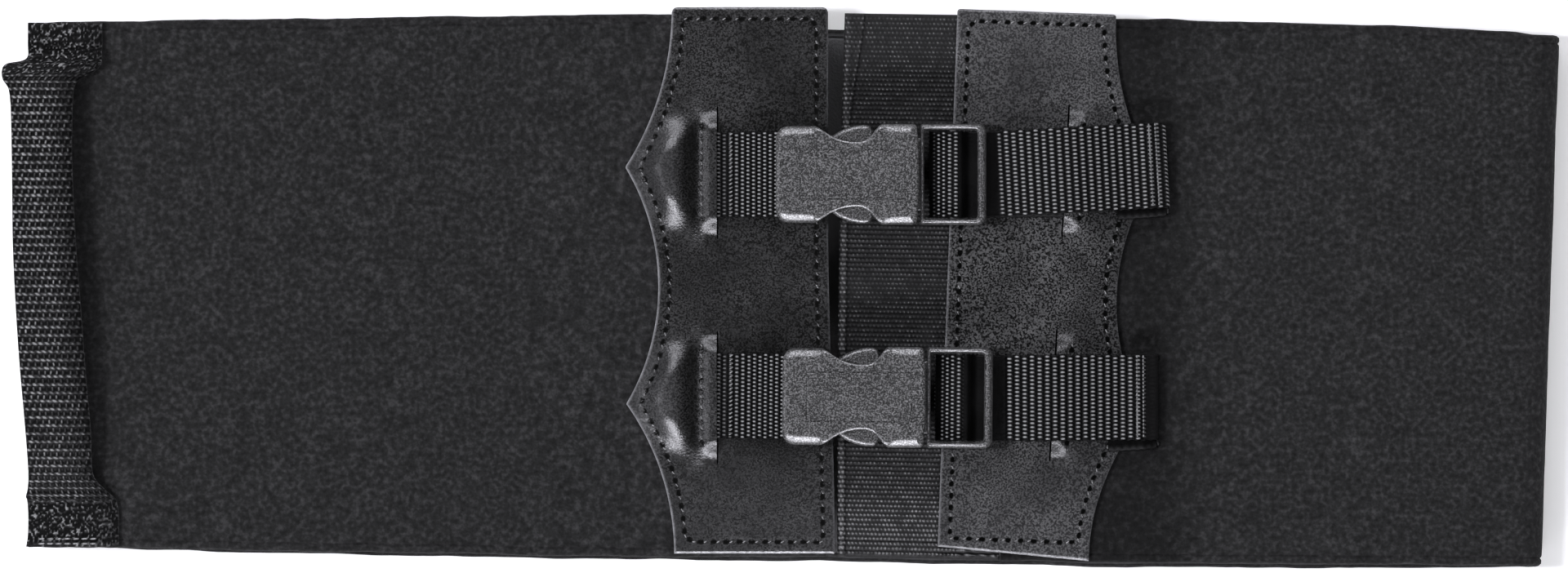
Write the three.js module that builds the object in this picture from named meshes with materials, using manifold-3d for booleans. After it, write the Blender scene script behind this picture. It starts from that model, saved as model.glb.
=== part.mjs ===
// A kidney belt, fastened and laid flat: a padded band folded into a flattened loop whose front opening
// is bridged by two side release buckles on webbing.
// Millimetres. +X runs along the belt, +Y up its height as worn, +Z away from the surface it lies on.
import * as THREE from 'three';
import { mergeVertices } from 'three/addons/utils/BufferGeometryUtils.js';
import Module from 'manifold-3d';

const wasm = await Module();
wasm.setup();

// Thicknesses
const CLEAR = 0.3; // gap kept between pieces that lie on each other
const BODY_T = 4; // padded cloth
const STRETCH_T = 2.2; // elastic
const HEM = { width: 5.8, thick: 3.1 }; // folded edge of the elastic
const LEATHER_T = 1.5;
const WEB = { width: 25, thick: 1.4 }; // webbing of the closure
const LOOP_T = 2; // webbing of the hand loop

// Heights above the surface the belt lies on
const HOLLOW = 6.5; // room for the body between back and front, at the closure
const BACK_MID = BODY_T / 2;
const FRONT_MID = BODY_T + HOLLOW + BODY_T / 2;
const FRONT_TOP = FRONT_MID + BODY_T / 2;
const PATCH_LOW = FRONT_TOP + CLEAR;
const DECK = PATCH_LOW + LEATHER_T + CLEAR; // where straps and buckles lie on the leather

// The band's two folds: x of the bend's centre and radius to the middle of the cloth
const RIGHT_FOLD = { x: 215.9, radius: 6.5 };
const LEFT_FOLD = { x: -212.5, radius: 4.75 };
const RIGHT_TOP_MID = BACK_MID + 2 * RIGHT_FOLD.radius;
const UNDER_FLAP_MID = BACK_MID + 2 * LEFT_FOLD.radius;
const FLAP_HIGH_MID = UNDER_FLAP_MID + BODY_T + CLEAR;
const FLAP_TOP = FLAP_HIGH_MID + BODY_T / 2;
const RIGHT_SAG = { from: 118, to: 205 }; // the front rises to the right fold between these
const LEFT_SAG = { from: -122, to: -66 }; // the flap falls from the overlap to the closure
const UNDER_FLAP_END = -128;
const SEAM_X = 66; // elastic meets padded cloth here, under the right patch
const RIGHT_LEAN = 0.0345; // the right half is turned: its upright lines lean by this much
const HEM_LEAN = 0.0135; // the same for the free edge of the elastic

// Upper and lower edge of each layer at a few places along the belt
const FLAP_EDGES = [
  { x: -219.9, top: 77.3, bottom: -75.6 },
  { x: -180.6, top: 78.0, bottom: -76.1 },
  { x: -113.9, top: 78.9, bottom: -77.3 },
  { x: -41.3, top: 79.9, bottom: -78.5 },
  { x: 12.6, top: 80.4, bottom: -78.5 },
];
const FRONT_EDGES = [
  { x: 17.0, top: 80.1, bottom: -78.5 },
  { x: 50.4, top: 79.6, bottom: -79.2 },
  { x: 99.2, top: 78.6, bottom: -80.4 },
  { x: 173.0, top: 76.5, bottom: -80.6 },
  { x: 224.4, top: 73.9, bottom: -81.4 },
];
const BACK_EDGES = [
  { x: -219.3, top: 76.8, bottom: -75.6 },
  { x: -156.8, top: 76.3, bottom: -77.3 },
  { x: -85.4, top: 76.0, bottom: -78.9 },
  { x: 15.8, top: 75.4, bottom: -80.0 },
  { x: 105.1, top: 74.6, bottom: -81.7 },
  { x: 176.5, top: 74.2, bottom: -82.0 },
  { x: 224.4, top: 73.9, bottom: -81.4 },
];
// Rounded edge of the padded cloth: distance in from the edge against share of the half thickness
const CLOTH_EDGE = [
  { inset: 1.6, rise: 1 },
  { inset: 0.5, rise: 0.7 },
  { inset: 0, rise: 0 },
  { inset: 0.5, rise: -0.7 },
  { inset: 1.6, rise: -1 },
];

// Leather patch: u runs from its straight edge out to its two points, v up its height from the middle
const PATCH = {
  half: 79.65,
  endReach: 45.2, // u of the outer edge at top and bottom
  waistReach: 49.5, // u of the outer edge between the two points
  waistV: -1.5,
  pointReach: 59,
  points: [-36, 33], // v of the two points
  kickFrom: 20, // v below which the straight edge swings out
  slitHalf: 19.3,
  slitGap: 0.5,
};
// How the leather is lifted going outwards from the slit: by the webbing sewn below it, and in the puffed
// part between that and the point
const BULGE = [
  { out: 0, lip: 3.8, puff: 0 },
  { out: 4.5, lip: 2.2, puff: 0 },
  { out: 8.4, lip: 2, puff: 0.2 },
  { out: 11.6, lip: 0, puff: 3.2 },
  { out: 16.5, lip: 0, puff: 3.2 },
  { out: 24, lip: 0, puff: 0.5 },
];
const BULGE_V = { full: 14.2, none: 18.6 }; // the same along the slit, from its middle
const BULGE_EDGE = 12; // the puffed part is full this far in from the outer edge
// Each patch: kick is how far the lower end of its straight edge swings out, flare and slitLean are the
// slopes of its outer edge and of its slits against the straight edge, and cut is how far its lower edge
// lies above square at the straight edge and at the outer edge
const PATCHES = [
  {
    name: 'left_patch',
    side: -1,
    x: 13.2,
    y: 2.15,
    turn: 0,
    slits: [-33.9, 31.3],
    slit: 32.2,
    slitLean: 0,
    flare: 0.0045,
    kick: 1.9,
    cut: [0, 0],
    puff: 1,
  },
  {
    name: 'right_patch',
    side: 1,
    x: 48,
    y: 1.75,
    turn: -2.1,
    slits: [-32.1, 33.4],
    slit: 32.6,
    slitLean: 0.018,
    flare: 0.0157,
    kick: 0,
    cut: [2.4, -0.3],
    puff: 0,
  },
];

// Side release buckle, from the strap end of the socket (x = 0) to the ladder end of the plug
const SOCKET = {
  length: 41.1,
  bow: 0.5, // the mouth's edge bows out by this much
  thick: 11,
  bevel: 1.1,
  tailHalf: 14.05,
  corner: 4.2,
  waistFrom: 11.2,
  waistX: 23.6,
  waistHalf: 9.45,
  mouthFrom: 30.8,
  mouthHalf: 14.7,
  mouthCorner: 1.6,
};
const CAVITY = { from: 12, half: 12, low: 2.6, high: 8.4 };
const STRAP_SLOT = { to: 8.4, half: 13, low: 1.6, high: 8.8 };
const SOCKET_BAR = { from: 1.6, to: 5.6, low: 4, high: 6.4 };
const PLUG = {
  from: 42.1,
  to: 61.2,
  half: 14.7,
  low: 3.4,
  high: 9.6,
  bevel: 0.55,
  corner: 2.9,
  windowFrom: 43.5,
  windowTo: 58.7,
  windowHalf: 13,
};
const PLUG_BAR = { from: 48.2, to: 52.6, low: 3.6, high: 6.2 };
const STEM = { from: 33, half: 10.6, low: 3.3, high: 7.7 };
const TONGUE = { from: 20, half: 2.6, low: 4, high: 7 };
const PRONG = { tip: 14.5, tipHalf: 8.6, innerHalf: 6.6, button: 25.6, buttonHalf: 14.4, heel: 28.1 };

// The two closures: place and turn in degrees of the buckle, then where the slits of the patches and the
// end of the tail lie along it, how far the tail has swung up at its end and how far its end rolls down
const CLOSURES = [
  {
    name: 'upper',
    x: -2,
    y: 33,
    turn: 0,
    leftSlit: -16.8,
    rightSlit: 84.2,
    tail: 114.4,
    swing: 2.9,
    roll: 0.3,
  },
  {
    name: 'lower',
    x: -0.1,
    y: -31.6,
    turn: -0.5,
    leftSlit: -18.7,
    rightSlit: 78.9,
    tail: 110.3,
    swing: 0.7,
    roll: 1.1,
  },
];
// How the webbing comes out of a slit, as distances from it: sewn end and foot of the climb below the
// leather, then the lip that it passes over
const SLIT_WAY = { sewn: 7.4, foot: 3.9, lip: 0.45 };
const SHORT_STRAP = { joined: 4.2, end: 5.8, lift: 9 }; // where its layers meet, end and leave the leather
const TAIL_HUMP = { from: -16, to: 19, flat: 3 }; // how the tail rises over the lip of the right slit
const TAIL_HEM = { length: 15.5, drop: 3, roll: 5.2 }; // the tail's folded end, which lies lower than it

// Hand loop, from the tab sewn at the top to the tab at the bottom: left and right edge of the strap at
// each height, how far each edge stands off the flap, and how far the middle is crowned above them
const HAND_LOOP = [
  { y: 77.3, left: -219.9, right: -198.2, riseLeft: 0, riseRight: 0, crown: 0 },
  { y: 71.0, left: -219.9, right: -198.2, riseLeft: 0, riseRight: 0, crown: 0 },
  { y: 67.6, left: -219.9, right: -198.2, riseLeft: 0.2, riseRight: 0, crown: 0.2 },
  { y: 66.2, left: -221.4, right: -198.2, riseLeft: 2.4, riseRight: 0, crown: 0.6 },
  { y: 65.2, left: -226.0, right: -198.4, riseLeft: 4.6, riseRight: 0.1, crown: 1 },
  { y: 63.2, left: -227.2, right: -200.2, riseLeft: 5.8, riseRight: 0.6, crown: 1.2 },
  { y: 60.6, left: -226.9, right: -204.8, riseLeft: 6.2, riseRight: 2.6, crown: 1.5 },
  { y: 58.0, left: -225.3, right: -206.2, riseLeft: 6.6, riseRight: 5.2, crown: 1.7 },
  { y: 54.0, left: -224.7, right: -206.5, riseLeft: 7, riseRight: 6.6, crown: 1.8 },
  { y: 50.2, left: -224.5, right: -206.6, riseLeft: 7.4, riseRight: 7.2, crown: 1.9 },
  { y: 36.1, left: -224.2, right: -206.6, riseLeft: 8.2, riseRight: 8.2, crown: 2 },
  { y: 12.4, left: -223.9, right: -205.5, riseLeft: 8.6, riseRight: 8.6, crown: 2 },
  { y: -6.8, left: -223.0, right: -204.0, riseLeft: 8.4, riseRight: 8.4, crown: 2 },
  { y: -23.4, left: -221.9, right: -202.8, riseLeft: 7.8, riseRight: 7.8, crown: 1.9 },
  { y: -41.1, left: -220.4, right: -201.3, riseLeft: 6.4, riseRight: 6.4, crown: 1.6 },
  { y: -53.8, left: -219.6, right: -200.8, riseLeft: 3.8, riseRight: 3.8, crown: 1 },
  { y: -58.5, left: -219.9, right: -197.6, riseLeft: 1.8, riseRight: 1.6, crown: 0.3 },
  { y: -60.8, left: -220.4, right: -195.0, riseLeft: 1.5, riseRight: 1.1, crown: 0.1 },
  { y: -62.0, left: -220.1, right: -194.0, riseLeft: 0.1, riseRight: 0.1, crown: 0 },
  { y: -66.0, left: -219.8, right: -193.4, riseLeft: 0, riseRight: 0, crown: 0 },
  { y: -75.5, left: -220.4, right: -193.4, riseLeft: 0, riseRight: 0, crown: 0 },
];

const MATERIALS = {
  cloth: { color: 0x2c2d2f, roughness: 0.95, metalness: 0 },
  elastic: { color: 0x232427, roughness: 0.8, metalness: 0 },
  leather: { color: 0x303133, roughness: 0.5, metalness: 0 },
  webbing: { color: 0x1d1d20, roughness: 0.6, metalness: 0 },
  plastic: { color: 0x3a3b3e, roughness: 0.45, metalness: 0 },
};

// Helpers

const lerp = THREE.MathUtils.lerp;
const smoothstep = THREE.MathUtils.smoothstep;

function spaced(from, to, count) {
  return Array.from({ length: count + 1 }, (_, i) => lerp(from, to, i / count));
}

// A column of a table, read off in a straight line between its rows
function readOff(rows, key, at, column) {
  const next = rows.findIndex((row) => row[key] >= at);
  if (next === -1) {
    return rows[rows.length - 1][column];
  }
  if (next === 0) {
    return rows[0][column];
  }
  const [a, b] = [rows[next - 1], rows[next]];
  return lerp(a[column], b[column], (at - a[key]) / (b[key] - a[key]));
}

// A geometry from points and triangles, with its faces turned outwards
function closedGeometry(points, triangles) {
  let volume = 0;
  for (const [a, b, c] of triangles) {
    volume += points[a].dot(new THREE.Vector3().crossVectors(points[b], points[c]));
  }
  const order = volume < 0 ? triangles.map(([a, b, c]) => [a, c, b]) : triangles;
  const geometry = new THREE.BufferGeometry().setFromPoints(points);
  geometry.setIndex(order.flat());
  geometry.computeVertexNormals();
  return geometry;
}

// A closed body through rings of points, each ring with the same number of them
function loft(rings) {
  const size = rings[0].length;
  const triangles = [];
  for (let i = 0; i + 1 < rings.length; i++) {
    for (let j = 0; j < size; j++) {
      const [a, b] = [i * size + j, i * size + ((j + 1) % size)];
      triangles.push([a, b, b + size], [a, b + size, a + size]);
    }
  }
  const last = (rings.length - 1) * size;
  for (let j = 1; j + 1 < size; j++) {
    triangles.push([0, j + 1, j], [last, last + j, last + j + 1]);
  }
  return closedGeometry(rings.flat(), triangles);
}

// A closed sheet over four-cornered cells; each corner has x, y and the heights low and high
function thickSheet(cells) {
  const seen = new Map();
  const corners = [];
  const indexOf = (corner) => {
    const key = [corner.x, corner.y, corner.low].map((value) => value.toFixed(4)).join();
    if (!seen.has(key)) {
      seen.set(key, corners.push(corner) - 1);
    }
    return seen.get(key);
  };
  const loops = cells.map((cell) => cell.map(indexOf));
  const edges = new Set();
  for (const loop of loops) {
    loop.forEach((a, k) => edges.add(`${a},${loop[(k + 1) % 4]}`));
  }
  const lowOf = (index) => index + corners.length;
  const triangles = [];
  for (const loop of loops) {
    const [a, b, c, d] = loop;
    triangles.push([a, b, c], [a, c, d]);
    triangles.push([lowOf(a), lowOf(c), lowOf(b)], [lowOf(a), lowOf(d), lowOf(c)]);
    loop.forEach((from, k) => {
      const to = loop[(k + 1) % 4];
      if (!edges.has(`${to},${from}`)) {
        triangles.push([lowOf(from), lowOf(to), to], [lowOf(from), to, from]);
      }
    });
  }
  const high = corners.map((corner) => new THREE.Vector3(corner.x, corner.y, corner.high));
  const low = corners.map((corner) => new THREE.Vector3(corner.x, corner.y, corner.low));
  return closedGeometry([...high, ...low], triangles);
}

// A way through corner points in x and z, each corner rounded to its radius; y follows in a straight line
function roundedWay(corners, steps = 4) {
  const way = [];
  corners.forEach((corner, i) => {
    const here = new THREE.Vector3(corner.x, corner.y ?? 0, corner.z);
    if (!corner.radius) {
      way.push(here);
      return;
    }
    const before = new THREE.Vector3(corners[i - 1].x, corners[i - 1].y ?? 0, corners[i - 1].z);
    const after = new THREE.Vector3(corners[i + 1].x, corners[i + 1].y ?? 0, corners[i + 1].z);
    const back = before.sub(here);
    const on = after.sub(here);
    const turn = back.angleTo(on);
    const reach = Math.min(corner.radius / Math.tan(turn / 2), back.length() * 0.48, on.length() * 0.48);
    const start = here.clone().addScaledVector(back.normalize(), reach);
    const end = here.clone().addScaledVector(on.normalize(), reach);
    way.push(...new THREE.QuadraticBezierCurve3(start, here, end).getPoints(steps));
  });
  return way;
}

// Webbing along a way, its width along Y and its edges slightly rounded
function ribbon(way, width, thick) {
  const rings = way.map((point, i) => {
    const before = way[Math.max(i - 1, 0)];
    const after = way[Math.min(i + 1, way.length - 1)];
    const along = new THREE.Vector2(after.x - before.x, after.z - before.z).normalize();
    const ring = [];
    for (const side of [1, -1]) {
      for (const rise of [side, 0, -side]) {
        const y = side * (width / 2 - (rise ? 0.5 : 0));
        const off = (rise * thick) / 2;
        ring.push(new THREE.Vector3(point.x - along.y * off, point.y + y, point.z + along.x * off));
      }
    }
    return ring;
  });
  return loft(rings);
}

function toSolid(geometry) {
  const bare = geometry.clone();
  bare.deleteAttribute('normal');
  bare.deleteAttribute('uv');
  const merged = mergeVertices(bare, 1e-4);
  return new wasm.Manifold(
    new wasm.Mesh({
      numProp: 3,
      vertProperties: merged.attributes.position.array,
      triVerts: new Uint32Array(merged.index.array),
    }),
  );
}

function fromSolid(solid) {
  const mesh = solid.getMesh();
  const geometry = new THREE.BufferGeometry();
  geometry.setAttribute('position', new THREE.BufferAttribute(mesh.vertProperties, 3));
  geometry.setIndex(new THREE.BufferAttribute(mesh.triVerts, 1));
  geometry.computeVertexNormals();
  return geometry;
}

// A box between two values in x and z, as wide as twice half in y
function block(fromX, toX, half, low, high) {
  const box = new THREE.BoxGeometry(toX - fromX, 2 * half, high - low);
  return box.translate((fromX + toX) / 2, 0, (low + high) / 2);
}

// A plan outline raised from low to high with its edges rounded off by bevel
function raised(shape, low, high, bevel) {
  const options = {
    depth: high - low - 2 * bevel,
    bevelEnabled: true,
    bevelThickness: bevel,
    bevelSize: bevel,
    bevelOffset: -bevel,
    bevelSegments: 2,
    curveSegments: 4,
  };
  return new THREE.ExtrudeGeometry(shape, options).translate(0, 0, low + bevel);
}

// A closed shape from one half of its outline, mirrored in y
function mirroredShape(halfPoints) {
  const above = halfPoints.filter((point) => point.y > 0);
  const other = above.map((point) => new THREE.Vector2(point.x, -point.y));
  return new THREE.Shape([...other, ...halfPoints.slice().reverse()]);
}

function part(name, geometry, material) {
  const mesh = new THREE.Mesh(geometry, new THREE.MeshStandardMaterial(MATERIALS[material]));
  mesh.name = name;
  return mesh;
}

// Padded cloth

// One section across a layer: a flat bar with rounded edges, facing outwards along (nx, nz)
function clothRing({ x, z, nx, nz, thick, top, bottom, lean }) {
  const ring = [];
  const push = (y, rise) => {
    const off = (rise * thick) / 2;
    ring.push(new THREE.Vector3(x + nx * off + lean * y, y, z + nz * off));
  };
  CLOTH_EDGE.forEach(({ inset, rise }) => push(top - inset, rise));
  CLOTH_EDGE.forEach(({ inset, rise }) => push(bottom + inset, -rise));
  return ring;
}

function edgesAt(rows, x) {
  return { top: readOff(rows, 'x', x, 'top'), bottom: readOff(rows, 'x', x, 'bottom') };
}

// A section of a layer whose middle is at midOf(x)
function layerSection(x, midOf, rows, lean, thick = BODY_T) {
  const slope = midOf(x + 0.5) - midOf(x - 0.5);
  const length = Math.hypot(1, slope);
  return { x, z: midOf(x), nx: -slope / length, nz: 1 / length, thick, lean, ...edgesAt(rows, x) };
}

// Sections round a fold from one angle to another, both in degrees
function foldSections(fold, centreZ, fromAngle, toAngle, lean) {
  return spaced(fromAngle, toAngle, 8).map((degrees) => {
    const angle = THREE.MathUtils.degToRad(degrees);
    const [nx, nz] = [Math.cos(angle), Math.sin(angle)];
    const nose = fold.x + Math.sign(fold.x) * fold.radius;
    const place = { x: fold.x + nx * fold.radius, z: centreZ + nz * fold.radius };
    return { ...place, nx, nz, thick: BODY_T, lean, ...edgesAt(BACK_EDGES, nose) };
  });
}

function mainBand() {
  const frontMid = (x) => lerp(FRONT_MID, RIGHT_TOP_MID, smoothstep(x, RIGHT_SAG.from, RIGHT_SAG.to));
  const front = spaced(SEAM_X + CLEAR / 2, RIGHT_FOLD.x - 3, 9);
  const back = spaced(RIGHT_FOLD.x - 6, LEFT_FOLD.x + 6, 8);
  const leanAt = (x) => lerp(0, RIGHT_LEAN, (x - LEFT_FOLD.x) / (RIGHT_FOLD.x - LEFT_FOLD.x));
  const sections = [
    ...front.map((x) => layerSection(x, frontMid, FRONT_EDGES, RIGHT_LEAN)),
    ...foldSections(RIGHT_FOLD, BACK_MID + RIGHT_FOLD.radius, 90, -90, RIGHT_LEAN),
    ...back.map((x) => {
      const flat = { x, z: BACK_MID, nx: 0, nz: -1, thick: BODY_T, lean: leanAt(x) };
      return { ...flat, ...edgesAt(BACK_EDGES, x) };
    }),
    ...foldSections(LEFT_FOLD, BACK_MID + LEFT_FOLD.radius, 270, 90, 0),
    ...spaced(LEFT_FOLD.x + 8, UNDER_FLAP_END, 2).map((x) => {
      const flat = { x, z: UNDER_FLAP_MID, nx: 0, nz: 1, thick: BODY_T, lean: 0 };
      return { ...flat, ...edgesAt(BACK_EDGES, LEFT_FOLD.x) };
    }),
  ];
  return part('main_band', loft(sections.map(clothRing)), 'cloth');
}

function leftFlap() {
  const mid = (x) => lerp(FLAP_HIGH_MID, FRONT_MID, smoothstep(x, LEFT_SAG.from, LEFT_SAG.to));
  const first = FLAP_EDGES[0].x;
  const last = FLAP_EDGES[FLAP_EDGES.length - 1].x;
  const sections = spaced(first, last, 18).map((x) => layerSection(x, mid, FLAP_EDGES, 0));
  return part('left_flap', loft(sections.map(clothRing)), 'cloth');
}

function stretchPanel() {
  const free = FRONT_EDGES[0].x;
  const hemEnd = free + HEM.width;
  const seam = SEAM_X - CLEAR / 2;
  const flatMid = () => FRONT_TOP - STRETCH_T / 2;
  const leanAt = (x) => lerp(HEM_LEAN, RIGHT_LEAN, (x - free) / (seam - free));
  const section = (x, thick) => layerSection(x, flatMid, FRONT_EDGES, leanAt(x), thick);
  const sections = [
    section(free, HEM.thick * 0.7),
    section(free + 0.7, HEM.thick),
    section(hemEnd - 0.4, HEM.thick),
    section(hemEnd, STRETCH_T),
    ...spaced(hemEnd + 8, seam, 4).map((x) => section(x, STRETCH_T)),
  ];
  return part('stretch_panel', loft(sections.map(clothRing)), 'elastic');
}

// Leather patches

// u of the outer edge at height v: arcs that run upright at the ends and the waist and meet in two points
function patchReach(v) {
  const { half, endReach, waistReach, waistV, pointReach, points } = PATCH;
  const [lower, upper] = points;
  const arc = (reach, distance, span) => {
    const rise = pointReach - reach;
    const radius = (span * span + rise * rise) / (2 * rise);
    return reach + radius - Math.sqrt(radius * radius - distance * distance);
  };
  if (v >= upper) {
    return arc(endReach, half - v, half - upper);
  }
  if (v <= lower) {
    return arc(endReach, half + v, half + lower);
  }
  return arc(waistReach, v - waistV, Math.abs((v > waistV ? upper : lower) - waistV));
}

function outerEdge(v, { flare }) {
  return patchReach(v) + flare * v;
}

function straightEdge(v, { kick }) {
  return -kick * smoothstep(PATCH.kickFrom - v, 0, PATCH.kickFrom + PATCH.half);
}

function slitLine(v, { slit, slitLean }) {
  return slit + slitLean * v;
}

function patchRise(u, v, row) {
  const nearest = Math.min(...row.slits.map((slit) => Math.abs(v - slit)));
  const along = 1 - smoothstep(nearest, BULGE_V.full, BULGE_V.none);
  const out = Math.max(u - slitLine(v, row), 0);
  const border = smoothstep(outerEdge(v, row) - u, 0, BULGE_EDGE);
  const puff = row.puff * border * readOff(BULGE, 'out', out, 'puff');
  return along * (readOff(BULGE, 'out', out, 'lip') + puff);
}

function leatherPatch(row) {
  const { name, side, x, y, turn, slits, cut } = row;
  const { half, endReach, slitHalf, slitGap, points, waistV } = PATCH;
  const offsets = [-slitHalf, -17, -15.4, -BULGE_V.full, 0, BULGE_V.full, 15.4, 17, slitHalf];
  const plain = [-half, -74, -64, ...points, waistV, waistV - 6, waistV + 6, 60, 70, half];
  const rows = [...plain, ...slits.flatMap((middle) => offsets.map((offset) => middle + offset))];
  rows.sort((a, b) => a - b);
  const halfGap = (v) => (slits.some((middle) => Math.abs(v - middle) < slitHalf - 0.01) ? slitGap / 2 : 0);
  const outerColumns = (v) => {
    const [slit, edge] = [slitLine(v, row), outerEdge(v, row)];
    const liftedColumns = BULGE.slice(1, 4).map(({ out }) => slit + out);
    const last = liftedColumns[liftedColumns.length - 1];
    return [slit + halfGap(v), ...liftedColumns, lerp(last, edge, 0.35), edge];
  };
  const innerColumns = (v) => [straightEdge(v, row), 12, 24, slitLine(v, row) - halfGap(v)];
  const corner = (u, v, lifted) => {
    const low = lifted ? patchRise(u, v, row) : 0;
    const lift = v === -half ? lerp(...cut, u / endReach) : 0;
    return { x: side * u, y: v + lift, low, high: low + LEATHER_T };
  };
  const cells = [];
  for (let i = 0; i + 1 < rows.length; i++) {
    for (const [columns, lifted] of [[innerColumns, false], [outerColumns, true]]) {
      const [below, above] = [columns(rows[i]), columns(rows[i + 1])];
      for (let j = 0; j + 1 < below.length; j++) {
        cells.push([
          corner(below[j], rows[i], lifted),
          corner(below[j + 1], rows[i], lifted),
          corner(above[j + 1], rows[i + 1], lifted),
          corner(above[j], rows[i + 1], lifted),
        ]);
      }
    }
  }
  const mesh = part(name, thickSheet(cells), 'leather');
  mesh.position.set(x, y, PATCH_LOW);
  mesh.rotation.z = THREE.MathUtils.degToRad(turn);
  return mesh;
}

// Buckles, with z = 0 at the underside of the socket

function socketShape() {
  const s = SOCKET;
  const half = new THREE.Path();
  half.moveTo(0, 0);
  half.lineTo(0, s.tailHalf - s.corner);
  half.quadraticCurveTo(0, s.tailHalf, s.corner, s.tailHalf);
  half.lineTo(s.waistFrom, s.tailHalf);
  const [waist, mouth] = [s.waistHalf, s.mouthHalf];
  half.bezierCurveTo(s.waistFrom + 3, s.tailHalf, s.waistX - 8, waist, s.waistX, waist);
  half.bezierCurveTo(s.waistX + 4, waist, s.mouthFrom - 2.4, mouth - 1.6, s.mouthFrom, mouth);
  half.lineTo(s.length - s.mouthCorner, s.mouthHalf);
  half.quadraticCurveTo(s.length, s.mouthHalf, s.length, s.mouthHalf - s.mouthCorner);
  half.quadraticCurveTo(s.length + s.bow, s.mouthHalf / 2, s.length + s.bow, 0);
  return mirroredShape(half.getPoints(4));
}

function buckleSocket(name) {
  const s = SOCKET;
  const body = toSolid(raised(socketShape(), 0, s.thick, s.bevel));
  const cavity = toSolid(block(CAVITY.from, s.length + 3, CAVITY.half, CAVITY.low, CAVITY.high));
  const slot = toSolid(block(-1, STRAP_SLOT.to, STRAP_SLOT.half, STRAP_SLOT.low, STRAP_SLOT.high));
  const barHalf = STRAP_SLOT.half + 0.4;
  const bar = toSolid(block(SOCKET_BAR.from, SOCKET_BAR.to, barHalf, SOCKET_BAR.low, SOCKET_BAR.high));
  return part(name, fromSolid(body.subtract(cavity).subtract(slot).add(bar)), 'plastic');
}

function plugFrameShape() {
  const p = PLUG;
  const half = new THREE.Path();
  half.moveTo(p.from, 0);
  half.lineTo(p.from, p.half - 0.8);
  half.quadraticCurveTo(p.from, p.half, p.from + 0.8, p.half);
  half.lineTo(p.to - p.corner, p.half);
  half.quadraticCurveTo(p.to, p.half, p.to, p.half - p.corner);
  half.lineTo(p.to, 0);
  const shape = mirroredShape(half.getPoints(4));
  const window = [
    new THREE.Vector2(p.windowFrom, -p.windowHalf),
    new THREE.Vector2(p.windowFrom, p.windowHalf),
    new THREE.Vector2(p.windowTo, p.windowHalf),
    new THREE.Vector2(p.windowTo, -p.windowHalf),
  ];
  shape.holes.push(new THREE.Path(window));
  return shape;
}

// One prong in plan: a springy arm whose button fills the cutout in the side of the socket
function prongShape(side) {
  const g = PRONG;
  const outline = new THREE.Path();
  outline.moveTo(STEM.from + 3, g.innerHalf);
  outline.lineTo(g.tip + 1.5, g.innerHalf + 0.6);
  outline.quadraticCurveTo(g.tip - 0.6, g.tipHalf, g.tip + 1.4, g.tipHalf + 2.2);
  outline.quadraticCurveTo(g.button - 5.5, g.buttonHalf - 0.2, g.button, g.buttonHalf);
  outline.lineTo(g.heel - 0.4, g.buttonHalf - 0.4);
  outline.lineTo(g.heel, STEM.half + 1.4);
  outline.lineTo(g.heel + 1, STEM.half);
  outline.lineTo(STEM.from + 3, STEM.half);
  return new THREE.Shape(outline.getPoints(5).map((point) => new THREE.Vector2(point.x, side * point.y)));
}

function bucklePlug(name) {
  const p = PLUG;
  const frame = toSolid(raised(plugFrameShape(), p.low, p.high, p.bevel));
  const bar = block(PLUG_BAR.from, PLUG_BAR.to, p.windowHalf + 0.6, PLUG_BAR.low, PLUG_BAR.high);
  const stem = block(STEM.from, p.from + 0.7, STEM.half, STEM.low, STEM.high);
  const tongue = block(TONGUE.from, STEM.from + 1, TONGUE.half, TONGUE.low, TONGUE.high);
  const prongs = [1, -1].map((side) => raised(prongShape(side), STEM.low, STEM.high, 0.4));
  const pieces = [bar, stem, tongue, ...prongs].map(toSolid);
  const whole = pieces.reduce((sum, piece) => sum.add(piece), frame);
  return part(name, fromSolid(whole), 'plastic');
}

// Webbing of the closure, in the frame of its buckle

// Out of the left slit, over the socket's bar, back below and sewn to itself
function shortStrap(name, { leftSlit }) {
  const mid = WEB.thick / 2;
  const over = SOCKET_BAR.high + CLEAR + mid;
  const under = SOCKET_BAR.low - CLEAR - mid;
  const round = SOCKET_BAR.to + CLEAR + mid;
  const upperLayer = WEB.thick + CLEAR + mid;
  const hidden = PATCH_LOW - DECK + mid;
  const way = roundedWay([
    { x: leftSlit - SLIT_WAY.sewn, z: hidden },
    { x: leftSlit - SLIT_WAY.foot, z: hidden, radius: 4 },
    { x: leftSlit - SLIT_WAY.lip, z: mid + 0.1, radius: 2 },
    { x: leftSlit + SHORT_STRAP.joined, z: upperLayer + 0.1, radius: 3 },
    { x: -SHORT_STRAP.lift, z: upperLayer + 0.4, radius: 6 },
    { x: 0.6, z: over, radius: 3 },
    { x: round, z: over, radius: 1.6 },
    { x: round, z: under, radius: 1.6 },
    { x: 0.4, z: under, radius: 3 },
    { x: -SHORT_STRAP.lift / 2, z: mid, radius: 4 },
    { x: leftSlit + SHORT_STRAP.end, z: mid },
  ]);
  return part(name, ribbon(way, WEB.width, WEB.thick), 'webbing');
}

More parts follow.
